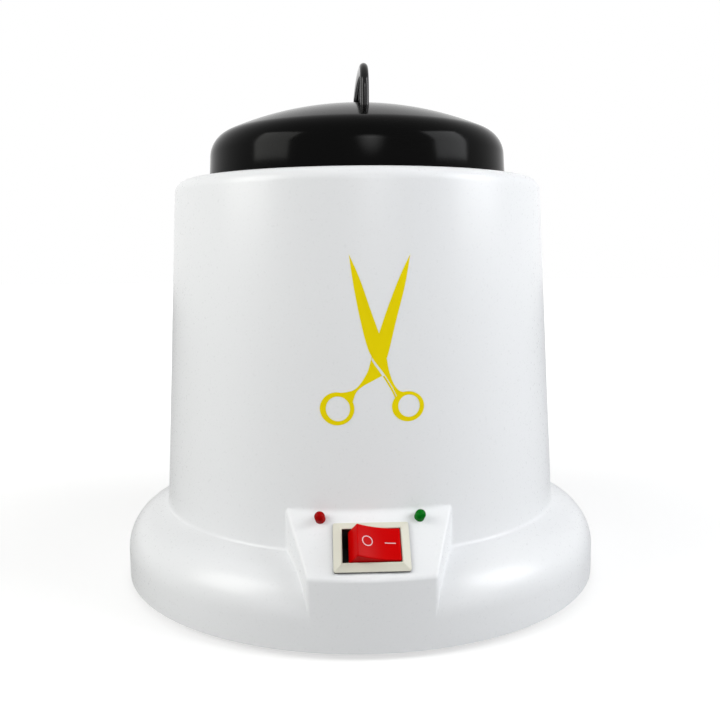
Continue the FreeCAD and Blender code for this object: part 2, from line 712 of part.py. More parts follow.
def switch_body():
    half_x = d.cutout_half_width - d.snap_clearance
    half_y = d.cutout_half_length - d.snap_clearance
    barrel = box("switch_barrel", (-half_x, half_x), (-half_y, half_y), (-d.switch_depth, 0))
    grip = d.shell_wall + d.fit_gap
    latch_corners = [(half_x - 1, -grip - 3), (half_x, -grip - 3), (half_x + d.latch, -grip),
                     (half_x - 1, -grip)]
    latch = padded("switch_latch", "XZ_Plane", latch_corners, half_y, symmetric=True)
    other_latch = copy_of(latch, angle=180)
    block = fuse("switch_block", *bezel(), barrel, latch, other_latch)
    well = box("switch_window", (-d.window_half_width, d.window_half_width),
               (-d.window_half_length, d.window_half_length),
               (d.flange_thickness - d.window_depth, d.flange_thickness + d.shell_wall))
    pivot = d.flange_thickness - d.pivot_depth
    hole = rod("pivot_hole", d.trunnion_radius + d.trunnion_clearance, 2 * (half_y + 1), 0.0, half_y + 1,
               pivot, (1, 0, 0), 90)
    slots = []
    for side in (-1, 1):
        middle = side * d.terminal_spread
        slots.append(box(f"terminal_slot_{side}", (middle - d.blade_half_width, middle + d.blade_half_width),
                         (-d.blade_half_thickness, d.blade_half_thickness),
                         (-d.switch_depth - ABOVE, d.blade_seat - d.switch_depth)))
    return cut("switch_moulding", block, well, hole, *slots)


def switch_terminals():
    blades = []
    for side in (-1, 1):
        middle = side * d.terminal_spread
        blade = box(f"blade_{side}", (middle - d.blade_half_width + d.blade_gap,
                                      middle + d.blade_half_width - d.blade_gap),
                    (-d.blade_half_thickness + d.blade_gap, d.blade_half_thickness - d.blade_gap),
                    (-d.switch_depth - d.blade_length, d.blade_seat - d.switch_depth))
        eye = rod(f"blade_eye_{side}", d.blade_half_width / 3, 4 * d.blade_half_thickness, middle,
                  2 * d.blade_half_thickness, d.blade_half_width - d.switch_depth - d.blade_length,
                  (1, 0, 0), 90)
        blades.append(cut(f"blade_cut_{side}", blade, eye))
    return group("switch_blades", *blades)


def rocker():
    """Tipped to its pressed side at rest: each corner is turned about the pivot."""
    pivot = d.flange_thickness - d.pivot_depth
    lean = cosine(d.rocker_tilt)
    drop = sine(d.rocker_tilt)

    def tipped(x, z):
        return x * lean + z * drop, pivot + z * lean - x * drop

    chord = 2 * d.rocker_half_width
    hollow_radius = (chord * chord / 4 + d.rocker_sag * d.rocker_sag) / (2 * d.rocker_sag)
    skirt = d.rocker_half_width + d.rocker_flare
    nose = d.rocker_nose_half
    top_right = tipped(d.rocker_half_width, d.rocker_peak)
    corners = [tipped(-nose, -d.rocker_nose), tipped(nose, -d.rocker_nose),
               tipped(skirt, d.rocker_skirt), (top_right[0], top_right[1], -hollow_radius),
               tipped(-d.rocker_half_width, d.rocker_peak), tipped(-skirt, d.rocker_skirt)]
    width = 2 * (d.window_half_length - d.rocker_side_gap)
    cap = padded("rocker_cap", "XZ_Plane", corners, width, symmetric=True)

    def on_peak(points):
        """The two ridges across the rocker's top."""
        across = max(p.x for p in points) - min(p.x for p in points) < 1e-3
        above = min(p.z for p in points) > float(d.flange_thickness) / 2
        return across and above and points[0].y != points[-1].y

    softened = chain_fillet("rocker_softened", cap, d.rocker_edge_round, on_peak)
    reach = d.window_half_length + d.trunnion_length
    trunnion = rod("rocker_trunnion", d.trunnion_radius, 2 * reach, 0.0, reach, pivot, (1, 0, 0), 90)
    return fuse("rocker_form", softened, trunnion)


# Indicator lamps: a domed lens with a collar behind the panel, and two leads

def lamp(name):
    seat = -d.lamp_wall
    straight = d.lamp_proud - d.lamp_radius
    back = seat - d.lamp_collar_depth
    lens = turned(f"{name}_lens", [(0, back), (d.lamp_collar, back),
                                   (d.lamp_collar, seat), (d.lamp_radius, seat),
                                   (d.lamp_radius, straight, d.lamp_radius), (0, d.lamp_proud)])
    return lens


def lamp_leads():
    """Two stiff leads that leave the back of each lamp."""
    wires = []
    start = -d.lamp_wall - d.lamp_collar_depth
    for side in (-1, 1):
        wires.append(rod(f"lamp_lead_{side}", d.lead_radius, d.lead_length, side * d.lead_spread, 0.0,
                         start - d.lead_length))
    return group("lamp_lead_pair", *wires)


# Lid and handle

def lid_lines():
    """Centres and meeting points of the lid's side, shoulder and dome, for any wall offset."""
    foot = pot_top
    lean = sine(d.lid_draft)
    side_top = d.rim_height + d.lid_side_height
    side_radius = d.lid_radius - (side_top - foot) * tangent(d.lid_draft)
    shoulder_x = side_radius - d.lid_shoulder * cosine(d.lid_draft)
    shoulder_z = side_top - d.lid_shoulder * lean
    between = d.dome_radius - d.lid_shoulder
    dome_z = shoulder_z - root(between * between - shoulder_x * shoulder_x)
    return shoulder_x, shoulder_z, dome_z, between


def lid_section(inset):
    shoulder_x, shoulder_z, dome_z, between = lid_lines()
    shoulder = d.lid_shoulder - inset
    start = (shoulder_x + shoulder * cosine(d.lid_draft), shoulder_z + shoulder * sine(d.lid_draft),
             shoulder)
    share = (d.dome_radius - inset) / between
    crown = (shoulder_x * share, dome_z + (shoulder_z - dome_z) * share, d.dome_radius - inset)
    return start, crown, (0, dome_z + d.dome_radius - inset)


def dome_height(reach, inset):
    dome_z = lid_lines()[2]
    ball = d.dome_radius - inset
    return dome_z + root(ball * ball - reach * reach)


def lid():
    foot_inner = d.lid_radius - d.lid_wall / cosine(d.lid_draft)
    outer = lid_section(0)
    inner = lid_section(d.lid_wall)
    body = turned("lid_shell", [
        (d.lid_radius, pot_top), outer[0], outer[1], outer[2], (inner[2][0], inner[2][1], -inner[1][2]),
        (inner[1][0], inner[1][1], -inner[0][2]), (inner[0][0], inner[0][1]), (foot_inner, pot_top)])
    return body


def handle_levels():
    leg_top = dome_height(d.handle_reach, 0) + d.handle_leg
    pad = dome_height(d.handle_reach, d.lid_wall) - d.lid_wall
    return leg_top, pad


def lid_moulding():
    """The domed shell with two flat pads inside, drilled for the handle."""
    pads = []
    holes = []
    pad_low = handle_levels()[1]
    for side in (-1, 1):
        y = side * d.handle_reach
        pads.append(rod(f"lid_pad_{side}", d.m3_nut + d.lid_wall, d.lid_wall, d.handle_aside, y, pad_low))
        holes.append(rod(f"lid_hole_{side}", d.handle_wire + d.handle_fit, d.lid_wall * 8,
                         d.handle_aside, y, pad_low - d.lid_wall))
    return cut("lid_drilled", fuse("lid_form", lid(), *pads), *holes)


def lid_handle():
    """Round wire: two legs, a bend over each, and a slightly crowned grip."""
    leg_top, pad_low = handle_levels()
    low = pad_low - d.handle_thread
    over = d.handle_rise - d.handle_bend
    bend_reach = d.handle_reach - d.handle_bend
    down = (bend_reach * bend_reach - over * over) / (2 * over)
    crown = down + d.handle_rise
    share = crown / (crown - d.handle_bend)
    meet_y = bend_reach * share
    meet_z = leg_top - down + down * share
    body = new_body("handle_wire")
    path = new_sketch(body, "YZ_Plane")
    points = [(d.handle_reach, low), (d.handle_reach, leg_top), (meet_y, meet_z), (-meet_y, meet_z),
              (-d.handle_reach, leg_top), (-d.handle_reach, low)]
    radii = [None, d.handle_bend, crown, d.handle_bend, None]
    previous = None
    for number, radius in enumerate(radii):
        start = vector(*points[number])
        finish = vector(*points[number + 1])
        if radius is None:
            edge = path.addGeometry(Part.LineSegment(start, finish))
        else:
            edge = path.addGeometry(Part.Arc(start, arc_middle(start, finish, float(radius)), finish))
            hold(path, "Radius", radius, edge)
        first = 1 if path.getPoint(edge, 1).distanceToPoint(start) < 1e-6 else 2
        pin_point(path, edge, first, *points[number])
        if previous is not None:
            path.addConstraint(Sketcher.Constraint("Coincident", *previous, edge, first))
        previous = (edge, 3 - first)
    pin_point(path, *previous, *points[-1])
    section = new_sketch(body, "XY_Plane", low)
    draw_circle(section, 0, d.handle_reach, d.handle_wire)
    pipe = body.newObject("PartDesign::AdditivePipe", "handle_pipe")
    pipe.Profile = section
    pipe.Spine = (path, [f"Edge{number}" for number in range(1, len(radii) + 1)])
    return place(body, d.handle_aside)


def hex_nut(name, corner, height, bore):
    """A nut standing on Z = 0."""
    flat = corner * cosine(30)
    half = corner / 2
    corners = [(corner, 0), (half, flat), (-half, flat), (-corner, 0), (-half, -flat), (half, -flat)]
    return cut(f"{name}_nut", padded(f"{name}_hexagon", "XY_Plane", corners, height),
               rod(f"{name}_thread", bore, height + 2, 0.0, 0.0, -1))


def handle_nuts():
    pad_low = handle_levels()[1]
    nut = hex_nut("handle", d.m3_nut, d.m3_nut_height, d.handle_wire + d.thread_gap)
    low = pad_low - d.washer_thickness - d.m3_nut_height
    both = [copy_of(nut, d.handle_aside, side * d.handle_reach, low) for side in (-1, 1)]
    return group("handle_nut_pair", *both)


def handle_washers():
    pad_low = handle_levels()[1]
    washer = cut("washer", rod("washer_disc", d.washer_radius, d.washer_thickness),
                 rod("washer_hole", d.handle_wire + d.handle_fit, d.washer_thickness + 2, 0.0, 0.0, -1))
    low = pad_low - d.washer_thickness
    both = [copy_of(washer, d.handle_aside, side * d.handle_reach, low) for side in (-1, 1)]
    return group("handle_washer_pair", *both)


# Pot, its ring and its screws

def pot():
    corner = d.pot_corner + d.pot_wall
    floor = pot_top - d.pot_depth
    cup = turned("pot_cup", [
        (0, pot_under), (pot_outer - corner, pot_under, corner), (pot_outer, pot_under + corner),
        (pot_outer, pot_flange_under), (d.flange_radius, pot_flange_under), (d.flange_radius, pot_top),
        (d.pot_radius + d.pot_lip, pot_top, d.pot_lip), (d.pot_radius, pot_top - d.pot_lip),
        (d.pot_radius, floor + d.pot_corner, -d.pot_corner),
        (d.pot_radius - d.pot_corner, floor), (0, floor)])
    studs = [rod(f"pot_stud_{side}", d.m3_radius, d.stud_length, side * d.stud_spread, 0.0,
                 pot_under - d.stud_length) for side in (-1, 1)]
    sink = turned("pot_sink", [
        (0, -ABOVE), (d.pot_screw_radius + d.fit_gap, -ABOVE), (d.pot_screw_radius + d.fit_gap, -d.pot_wall),
        (d.pot_screw_radius + d.fit_gap + d.pot_wall, 0),
        (d.pot_screw_radius + d.fit_gap + d.pot_wall, 1), (0, 1)])
    return cut("pot_drawn", fuse("pot_form", cup, *studs),
               *on_circle(sink, d.pot_screw_circle, POT_ANGLES, pot_top))


def pot_ring():
    inner = pot_outer + d.ring_gap
    ring = turned("ring_blank", [(inner, ledge_height), (d.flange_radius, ledge_height),
                                 (d.flange_radius, pot_flange_under), (inner, pot_flange_under)])
    hole = rod("ring_hole", d.pot_screw_radius + d.fit_gap, d.ring_thickness + 2)
    return cut("ring_drilled", ring, *on_circle(hole, d.pot_screw_circle, POT_ANGLES, ledge_height - 1))


def pot_screw_length():
    return d.pot_wall + d.ring_thickness + d.shell_wall + d.m3_nut_height + 1


def pot_screws():
    head = d.pot_screw_radius + d.pot_wall
    screw = turned("pot_screw_turned", [
        (0, -pot_screw_length()), (d.pot_screw_radius, -pot_screw_length()),
        (d.pot_screw_radius, -d.pot_wall),
        (head, 0), (0, 0)])
    screw = cut("pot_screw", screw, *cross_recess("pot_screw", head, 0))
    return group("pot_screw_set", *on_circle(screw, d.pot_screw_circle, POT_ANGLES, pot_top))


def cross_recess(name, head, top):
    """Two crossed slots for the driver."""
    reach = head * 0.62
    half = head * 0.13
    depth = head * 0.3
    return (box(f"{name}_slot_x", (-reach, reach), (-half, half), (top - depth, top + 1)),
            box(f"{name}_slot_y", (-half, half), (-reach, reach), (top - depth, top + 1)))


def pot_nuts():
    nut = hex_nut("pot", d.m3_nut, d.m3_nut_height, d.pot_screw_radius + d.thread_gap)
    low = ledge_under - d.m3_nut_height
    return group("pot_nut_set", *on_circle(nut, d.pot_screw_circle, POT_ANGLES, low))


# Heater band with its ears, clamp screw and nut, and the two terminal studs

band_inner = pot_outer + d.fit_gap
band_outer = band_inner + d.band_thickness
band_top = pot_top - d.band_drop
band_low = band_top - d.band_height
ear_x = d.band_gap / 2
clamp_y = band_outer + d.ear_reach * 0.55
clamp_z = band_low + d.band_height / 2


def heater_band():
    ring = turned("band_ring", [(band_inner, band_low), (band_outer, band_low),
                                (band_outer, band_top), (band_inner, band_top)])
    gap = box("band_gap", (-ear_x, ear_x), (0, band_outer + ABOVE), (band_low - 1, band_top + 1))
    ears = []
    for side in (-1, 1):
        near = min(side * ear_x, side * (ear_x + d.ear_thickness), key=float)
        far = max(side * ear_x, side * (ear_x + d.ear_thickness), key=float)
        ears.append(box(f"band_ear_{side}", (near, far), (band_inner + d.fit_gap, band_outer + d.ear_reach),
                        (clamp_z - d.ear_half_height, clamp_z + d.ear_half_height)))
    hole = rod("ear_hole", d.m3_radius + d.fit_gap, 4 * d.band_gap, -2 * d.band_gap, clamp_y, clamp_z,
               (0, 1, 0), 90)
    studs = []
    for side in (-1, 1):
        studs.append(rod(f"terminal_stud_{side}", d.m3_radius, d.ear_reach + d.band_thickness,
                         side * d.stud_offset, band_inner - d.band_thickness / 2, clamp_z, (1, 0, 0), -90))
    return cut("band_cut", fuse("band_form", ring, *ears, *studs), gap, hole,
               rod("band_bore", band_inner, d.band_height + 2, 0.0, 0.0, band_low - 1))


def pan_screw(name, length, radius, head, head_height):
    """Pan head above Z = 0, shank below."""
    form = turned(f"{name}_turned", [
        (0, -length), (radius, -length), (radius, 0), (head, 0), (head, head_height / 2, head_height),
        (head - head_height / 2, head_height), (0, head_height)])
    return cut(f"{name}_cut", form, *cross_recess(name, head, head_height))


def band_screw():
    reach = d.band_gap + 2 * d.ear_thickness + d.m3_nut_height + 1
    screw = pan_screw("band_screw_piece", reach, d.m3_radius, d.m3_head, d.m3_head_height)
    return place(group("band_screw_seated", screw), -ear_x - d.ear_thickness, clamp_y, clamp_z,
                 (0, 1, 0), -90)


def band_nut():
    nut = hex_nut("band", d.m3_nut, d.m3_nut_height, d.m3_radius + d.thread_gap)
    return place(group("band_nut_seated", nut), ear_x + d.ear_thickness, clamp_y, clamp_z, (0, 1, 0), 90)


def heater_nuts():
    nut = hex_nut("heater", d.m3_nut, d.m3_nut_height, d.m3_radius + d.thread_gap)
    return group("heater_nut_pair", *[
        copy_of(nut, side * d.stud_offset, band_outer + d.m3_nut_height * 0.5, clamp_z, (1, 0, 0), -90)
        for side in (-1, 1)])


# Insulation and heat shield

def insulation():
    inner = band_outer + d.fit_gap * 3
    outer = inner + d.wool_thickness
    low = d.shield_bottom + d.shield_wall
    high = pot_top - d.wool_drop
    sleeve = turned("wool_sleeve", [(inner, low), (outer, low), (outer, high), (inner, high)])
    opening = box("wool_opening", (-d.wool_opening_half, d.wool_opening_half), (0, outer + ABOVE),
                  (low - 1, high + 1))
    return cut("wool_cut", sleeve, opening)


shield_top = d.rim_height - d.shield_drop


def heat_shield():
    outer = d.shield_radius + d.shield_wall
    can = turned("shield_can", [
        (d.shield_hole, d.shield_bottom), (outer, d.shield_bottom), (outer, shield_top - d.shield_wall),
        (d.shield_flange, shield_top - d.shield_wall), (d.shield_flange, shield_top),
        (d.shield_radius, shield_top), (d.shield_radius, d.shield_bottom + d.shield_wall),
        (d.shield_hole, d.shield_bottom + d.shield_wall)])
    hole = rod("shield_hole_tool", d.m3_radius + d.fit_gap, d.shield_wall + 2)
    lead_hole = rod("shield_lead_hole", d.lead_hole, d.shield_wall + 2)
    return cut("shield_pressed", can,
               *on_circle(hole, d.shield_screw_circle, SHIELD_ANGLES, shield_top - d.shield_wall - 1),
               *on_circle(lead_hole, d.lead_hole_circle, (60, 120, 240, 300), d.shield_bottom - 1))


def shield_screws():
    screw = pan_screw("shield_screw_piece", d.shield_drop / 2, d.pilot_radius - d.thread_gap,
                      d.m3_head, d.m3_head_height)
    turned_over = place(group("shield_screw_over", screw), axis=(1, 0, 0), angle=180)
    return group("shield_screw_set", *on_circle(group("shield_screw_hung", turned_over),
                                                d.shield_screw_circle, SHIELD_ANGLES,
                                                shield_top - d.shield_wall))


# Thermostat and thermal fuse under the pot

def thermostat():
    """A disc thermostat: mounting ears, metal cap, moulded body and two blades."""
    low = pot_under - d.stat_plate
    half = d.stud_spread
    ears = padded("stat_ears", "XY_Plane", [(-half, -d.stat_ear), (half, -d.stat_ear, d.stat_ear * 1.0001),
                                            (half, d.stat_ear), (-half, d.stat_ear, d.stat_ear * 1.0001)],
                  d.stat_plate)
    place(ears, z=low)
    cap = rod("stat_cap", d.stat_radius, d.stat_cap, 0.0, 0.0, pot_under - d.stat_cap)
    shell = rod("stat_body", d.stat_radius - d.stat_step, d.stat_height, 0.0, 0.0,
                pot_under - d.stat_cap - d.stat_height)
    blades = []
    for side in (-1, 1):
        middle = side * d.stat_blade_spread
        blades.append(box(f"stat_blade_{side}", (-d.blade_half_width, d.blade_half_width),
                          (middle - d.blade_half_thickness, middle + d.blade_half_thickness),
                          (pot_under - d.stat_cap - d.stat_height - d.blade_length,
                           pot_under - d.stat_cap - d.stat_height)))
    holes = [rod(f"stat_hole_{side}", d.m3_radius + d.fit_gap, d.stat_plate + 2, side * half, 0.0, low - 1)
             for side in (-1, 1)]
    return cut("stat_drilled", fuse("stat_form", ears, cap, shell, *blades), *holes)


def fuse_clip():
    """A strip held by the right-hand nut, rolled round the fuse."""
    high = pot_under - d.stat_plate
    low = high - d.clip_thickness
    ring_x = d.stud_spread + d.clip_reach
    ring_outer = d.fuse_radius + d.fit_gap + d.clip_thickness
    inner_end = d.stud_spread - d.clip_half
    strip = box("clip_strip", (inner_end, ring_x), (-d.clip_half, d.clip_half), (low, high))
    ring = rod("clip_ring", ring_outer, 2 * d.clip_half, ring_x, d.clip_half, high - ring_outer,
               (1, 0, 0), 90)
    bore = rod("clip_bore", d.fuse_radius + d.fit_gap, 2 * d.clip_half + 2, ring_x, d.clip_half + 1,
               high - ring_outer, (1, 0, 0), 90)
    hole = rod("clip_hole", d.m3_radius + d.fit_gap, d.clip_thickness + 2, d.stud_spread, 0.0, low - 1)
    return cut("clip_bent", fuse("clip_form", strip, ring), bore, hole)


def thermal_fuse():
    """A small barrel with a lead at each end."""
    ring_outer = d.fuse_radius + d.fit_gap + d.clip_thickness
    x = d.stud_spread + d.clip_reach
    z = pot_under - d.stat_plate - ring_outer
    barrel = rod("fuse_barrel", d.fuse_radius, d.fuse_length, x, d.fuse_length / 2, z, (1, 0, 0), 90)
    wire = rod("fuse_lead", d.lead_radius * 2, d.fuse_length * 2.4, x, d.fuse_length * 1.2, z, (1, 0, 0), 90)
    return fuse("fuse_form", barrel, wire)


def thermostat_nuts():
    nut = hex_nut("stat", d.m3_nut, d.m3_nut_height, d.m3_radius + d.thread_gap)
    left = pot_under - d.stat_plate - d.m3_nut_height
    return group("stat_nut_pair", copy_of(nut, -d.stud_spread, 0.0, left),
                 copy_of(nut, d.stud_spread, 0.0, left - d.clip_thickness))


# Base plate, feet and screws

def base_plate():
    body = new_body("plate_disc")
    outline = new_sketch(body, "XY_Plane", plate_under)
    draw_circle(outline, 0, 0, d.base_radius - d.shell_wall - d.plate_clearance)
    disc = body.newObject("PartDesign::Pad", "plate_pad")
    disc.Profile = outline
    bind(disc, "Length", d.plate_thickness)
    slot = new_sketch(body, "XY_Plane", plate_under)
    half = d.vent_width / 2
    draw(slot, [(d.vent_inner, -half), (d.vent_outer, -half, half * 1.0001), (d.vent_outer, half),
                (d.vent_inner, half, half * 1.0001)])
    opening = body.newObject("PartDesign::Pocket", "plate_vent")
    opening.Profile = slot
    opening.Type = "ThroughAll"
    opening.SideType = "Symmetric"
    vents = body.newObject("PartDesign::PolarPattern", "plate_vents")
    vents.Originals = [opening]
    vents.Axis = ([f for f in body.Origin.OriginFeatures if f.Role == "Z_Axis"][0], [""])
    vents.Angle = 360
    vents.Occurrences = VENTS
    body.Tip = vents
    posts = [rod(f"board_post_{side}", d.stand_radius, d.board_stand, side * d.board_screw_spread,
                 -d.board_reach, plate_top) for side in (-1, 1)]
    lugs = [rod(f"block_boss_{side}", d.stand_radius, d.plate_thickness, side * d.block_screw_spread,
                d.block_reach, plate_under + d.foot_recess) for side in (-1, 1)]
    joined = fuse("plate_form", body, *posts)
    sink = turned("plate_sink", [
        (0, -1), (d.m3_head + d.fit_gap + 1, -1), (d.m3_radius + d.fit_gap, d.m3_head - d.m3_radius),
        (d.m3_radius + d.fit_gap, d.plate_thickness + ABOVE), (0, d.plate_thickness + ABOVE)])
    foot_recess = rod("foot_recess_tool", d.foot_radius + d.fit_gap, d.foot_recess + 1)
    pilots = [rod(f"board_pilot_{side}", d.pilot_radius, d.board_stand + d.plate_thickness / 2,
                  side * d.board_screw_spread, -d.board_reach, plate_top - d.plate_thickness / 2)
              for side in (-1, 1)]
    block_pilots = [rod(f"block_pilot_{side}", d.pilot_radius, d.plate_thickness + 2,
                        side * d.block_screw_spread, d.block_reach, plate_under - 1) for side in (-1, 1)]
    return cut("plate_moulding", joined,
               *on_circle(sink, d.post_circle, both_sides(d.post_angle), plate_under),
               *on_circle(foot_recess, d.foot_circle, both_sides(d.foot_angle), plate_under - 1),
               *pilots, *block_pilots)


def base_screws():
    """Countersunk screws driven up through the plate into the housing's posts."""
    head_depth = d.m3_head - d.m3_radius
    length = d.plate_thickness + d.base_screw_bite
    shank = d.pilot_radius - d.thread_gap
    form = turned("base_screw_turned", [
        (0, 0), (d.m3_head, 0), (d.m3_radius, head_depth),
        (shank, head_depth), (shank, length), (0, length)])
    recess = [place(group(f"base_recess_{part.Name}", part), axis=(1, 0, 0), angle=180)
              for part in cross_recess("base_screw", d.m3_head, 0)]
    screw = cut("base_screw", form, *recess)
    return group("base_screw_set", *on_circle(screw, d.post_circle, both_sides(d.post_angle), plate_under))


def foot(angle):
    """A rubber disc in its recess, rounded where it meets the bench."""
    top = plate_under + d.foot_recess
    low = -d.foot_lift
    name = f"foot_{round(float(angle))}"
    body = turned(f"{name}_disc", [(0, low), (d.foot_radius - 1.5, low, 1.5), (d.foot_radius, low + 1.5),
                                   (d.foot_radius, top), (0, top)])
    return group(name, *on_circle(body, d.foot_circle, (angle,)))


# Terminal block and indicator board on the base plate

def terminal_block():
    half = d.block_width / 2
    low_y = d.block_reach - d.block_depth / 2
    block = box("block_blank", (-half, half), (low_y, low_y + d.block_depth),
                (plate_top, plate_top + d.block_height))
    tools = []
    for pole in (-1, 0, 1):
        x = pole * d.pole_pitch
        tools.append(rod(f"block_entry_{pole}", d.entry_radius, d.block_depth + 2, x,
                         low_y + d.block_depth + 1, plate_top + d.block_height * 0.35, (1, 0, 0), 90))
        for side in (-1, 1):
            tools.append(rod(f"block_well_{pole}_{side}", d.entry_radius, d.block_height, x,
                             d.block_reach + side * d.well_offset, plate_top + d.block_height * 0.35))
    for side in (-1, 1):
        tools.append(rod(f"block_fixing_{side}", d.m3_radius + d.fit_gap, d.block_height + 2,
                         side * d.block_screw_spread, d.block_reach, plate_top - 1))
        tools.append(rod(f"block_sink_{side}", d.m3_head + d.fit_gap, d.block_height,
                         side * d.block_screw_spread, d.block_reach, plate_top + d.block_height * 0.4))
    return cut("block_moulding", block, *tools)


def terminal_screws():
    """Slotted grub screws standing in the block's wells."""
    length = d.block_height * 0.4
    stem = rod("grub_stem", d.entry_radius - d.fit_gap, length)
    slot = box("grub_slot", (-d.entry_radius, d.entry_radius), (-0.3, 0.3), (length - 0.8, length + 1))
    grub = cut("grub", stem, slot)
    low = plate_top + d.block_height * 0.35 + d.entry_radius
    copies = []
    for pole in (-1, 0, 1):
        for side in (-1, 1):
            copies.append(copy_of(grub, pole * d.pole_pitch, d.block_reach + side * d.well_offset, low))
    return group("grub_set", *copies)


def block_screws():
    screw = pan_screw("block_screw_piece", d.block_height * 0.4 + d.plate_thickness * 0.8,
                      d.pilot_radius - d.thread_gap, d.m3_head, d.m3_head_height)
    return group("block_screw_pair", *[
        copy_of(screw, side * d.block_screw_spread, d.block_reach, plate_top + d.block_height * 0.4)
        for side in (-1, 1)])


board_low = plate_top + d.board_stand
board_top = board_low + d.board_thickness


def indicator_board():
    half_y = d.board_depth / 2
    half_x = d.board_width / 2
    board = box("board_blank", (-half_x, half_x), (-d.board_reach - half_y, -d.board_reach + half_y),
                (board_low, board_top))
    holes = [rod(f"board_hole_{side}", d.m3_radius + d.fit_gap, d.board_thickness + 2,
                 side * d.board_screw_spread, -d.board_reach, board_low - 1) for side in (-1, 1)]
    return cut("board_drilled", board, *holes)


def resistors():
    """Two barrels lying along the board, each on its own bent leads."""
    pieces = []
    half = d.resistor_length / 2
    for side in (-1, 1):
        y = side * d.board_depth / 4 - d.board_reach
        z = board_top + d.resistor_radius + d.fit_gap
        barrel = rod(f"resistor_{side}", d.resistor_radius, d.resistor_length, -half, y, z, (0, 1, 0), 90)
        lead = rod(f"resistor_lead_{side}", d.lead_radius, d.resistor_length + 6, -half - 3, y, z,
                   (0, 1, 0), 90)
        legs = [rod(f"resistor_leg_{side}_{end}", d.lead_radius, z - board_top, end * (half + 3), y,
                    board_top)
                for end in (-1, 1)]
        pieces.append(fuse(f"resistor_form_{side}", barrel, lead, *legs))
    return group("resistor_pair", *pieces)


def board_screws():
    screw = pan_screw("board_screw_piece", d.board_thickness + d.board_stand * 0.8,
                      d.pilot_radius - d.thread_gap, d.m3_head, d.m3_head_height)
    return group("board_screw_pair", *[
        copy_of(screw, side * d.board_screw_spread, -d.board_reach, board_top) for side in (-1, 1)])


# Cord gland in the back of the housing

def cord_gland():
    """A snap-in bushing: collar, neck, and a barb behind the pad."""
    back = -d.gland_pad_thickness - d.fit_gap
    barb = d.gland_body + d.fit_gap * 5
    form = turned("gland_form", [
        (d.gland_bore, back - d.gland_tail), (d.gland_body, back - d.gland_tail), (barb, back - 1),
        (barb, back), (d.gland_body, back), (d.gland_body, 0), (d.gland_flange, 0),
        (d.gland_flange, d.gland_collar / 2, d.gland_collar / 2),
        (d.gland_flange - d.gland_collar / 2, d.gland_collar), (d.gland_bore, d.gland_collar)])
    return place(group("gland_seated", form), 0.0, d.gland_pad_reach, d.gland_height, (1, 0, 0), -90)


# The pieces, each under the name of its node

def build():
    up = d.foot_lift
    node("housing", housing(), up)
    node("base_plate", base_plate(), up)
    feet = ("foot_rear_right", "foot_rear_left", "foot_front_left", "foot_front_right")
    for name, angle in zip(feet, both_sides(d.foot_angle)):
        node(name, foot(angle), up)
    node("base_screws", base_screws(), up)
    node("pot", pot(), up)
    node("pot_ring", pot_ring(), up)
    node("pot_screws", pot_screws(), up)
    node("pot_nuts", pot_nuts(), up)
    node("heater_band", heater_band(), up)
    node("heater_nuts", heater_nuts(), up)
    node("band_screw", band_screw(), up)
    node("band_nut", band_nut(), up)
    node("insulation", insulation(), up)
    node("heat_shield", heat_shield(), up)
    node("shield_screws", shield_screws(), up)
    node("thermostat", thermostat(), up)
    node("thermostat_nuts", thermostat_nuts(), up)
    node("thermal_fuse", thermal_fuse(), up)
    node("fuse_clip", fuse_clip(), up)
    node("switch_body", panel_group("switch_seated", switch_body()), up)
    node("switch_terminals", panel_group("blades_seated", switch_terminals()), up)
    node("rocker", panel_group("rocker_seated", rocker()), up)
    left, spare_right = lamp_pair("red", group("red_lamp", lamp("red")))
    spare_left, right = lamp_pair("green", group("green_lamp", lamp("green")))
    doc.removeObject(spare_right.Name)
    doc.removeObject(spare_left.Name)
    node("led_red", left, up)
    node("led_green", right, up)
    node("led_leads", group("led_lead_set", *lamp_pair("leads", lamp_leads())), up)
    node("indicator_board", indicator_board(), up)
    node("resistors", resistors(), up)
    node("board_screws", board_screws(), up)
    node("terminal_block", terminal_block(), up)
    node("terminal_screws", terminal_screws(), up)
    node("block_screws", block_screws(), up)
    node("cord_gland", cord_gland(), up)
    node("lid", lid_moulding(), up)
    node("lid_handle", lid_handle(), up)
    node("handle_nuts", handle_nuts(), up)
    node("handle_washers", handle_washers(), up)


def check_all():
    """Stop before writing if any object failed or any node's shape is unsound."""
    doc.recompute()
    faults = []
    for thing in doc.Objects:
        if "Invalid" in thing.State or "Error" in thing.State:
            faults.append(f"{thing.Name}: {thing.State}")
    for name, thing in nodes.items():
        if thing.Shape.isNull() or not thing.Shape.isValid() or not thing.Shape.Solids:
            faults.append(f"{name}: unsound shape")
    if faults:
        raise RuntimeError("; ".join(faults))


build()
check_all()
os.makedirs("parts", exist_ok=True)
for name, thing in nodes.items():
    thing.Shape.exportStep(f"parts/{name}.step")
    print(name, len(thing.Shape.Solids), "solids", round(thing.Shape.Volume / 1000, 2), "cm3")
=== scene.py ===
import json
import math

import bmesh
import bpy
import numpy as np
from mathutils import Matrix, Vector

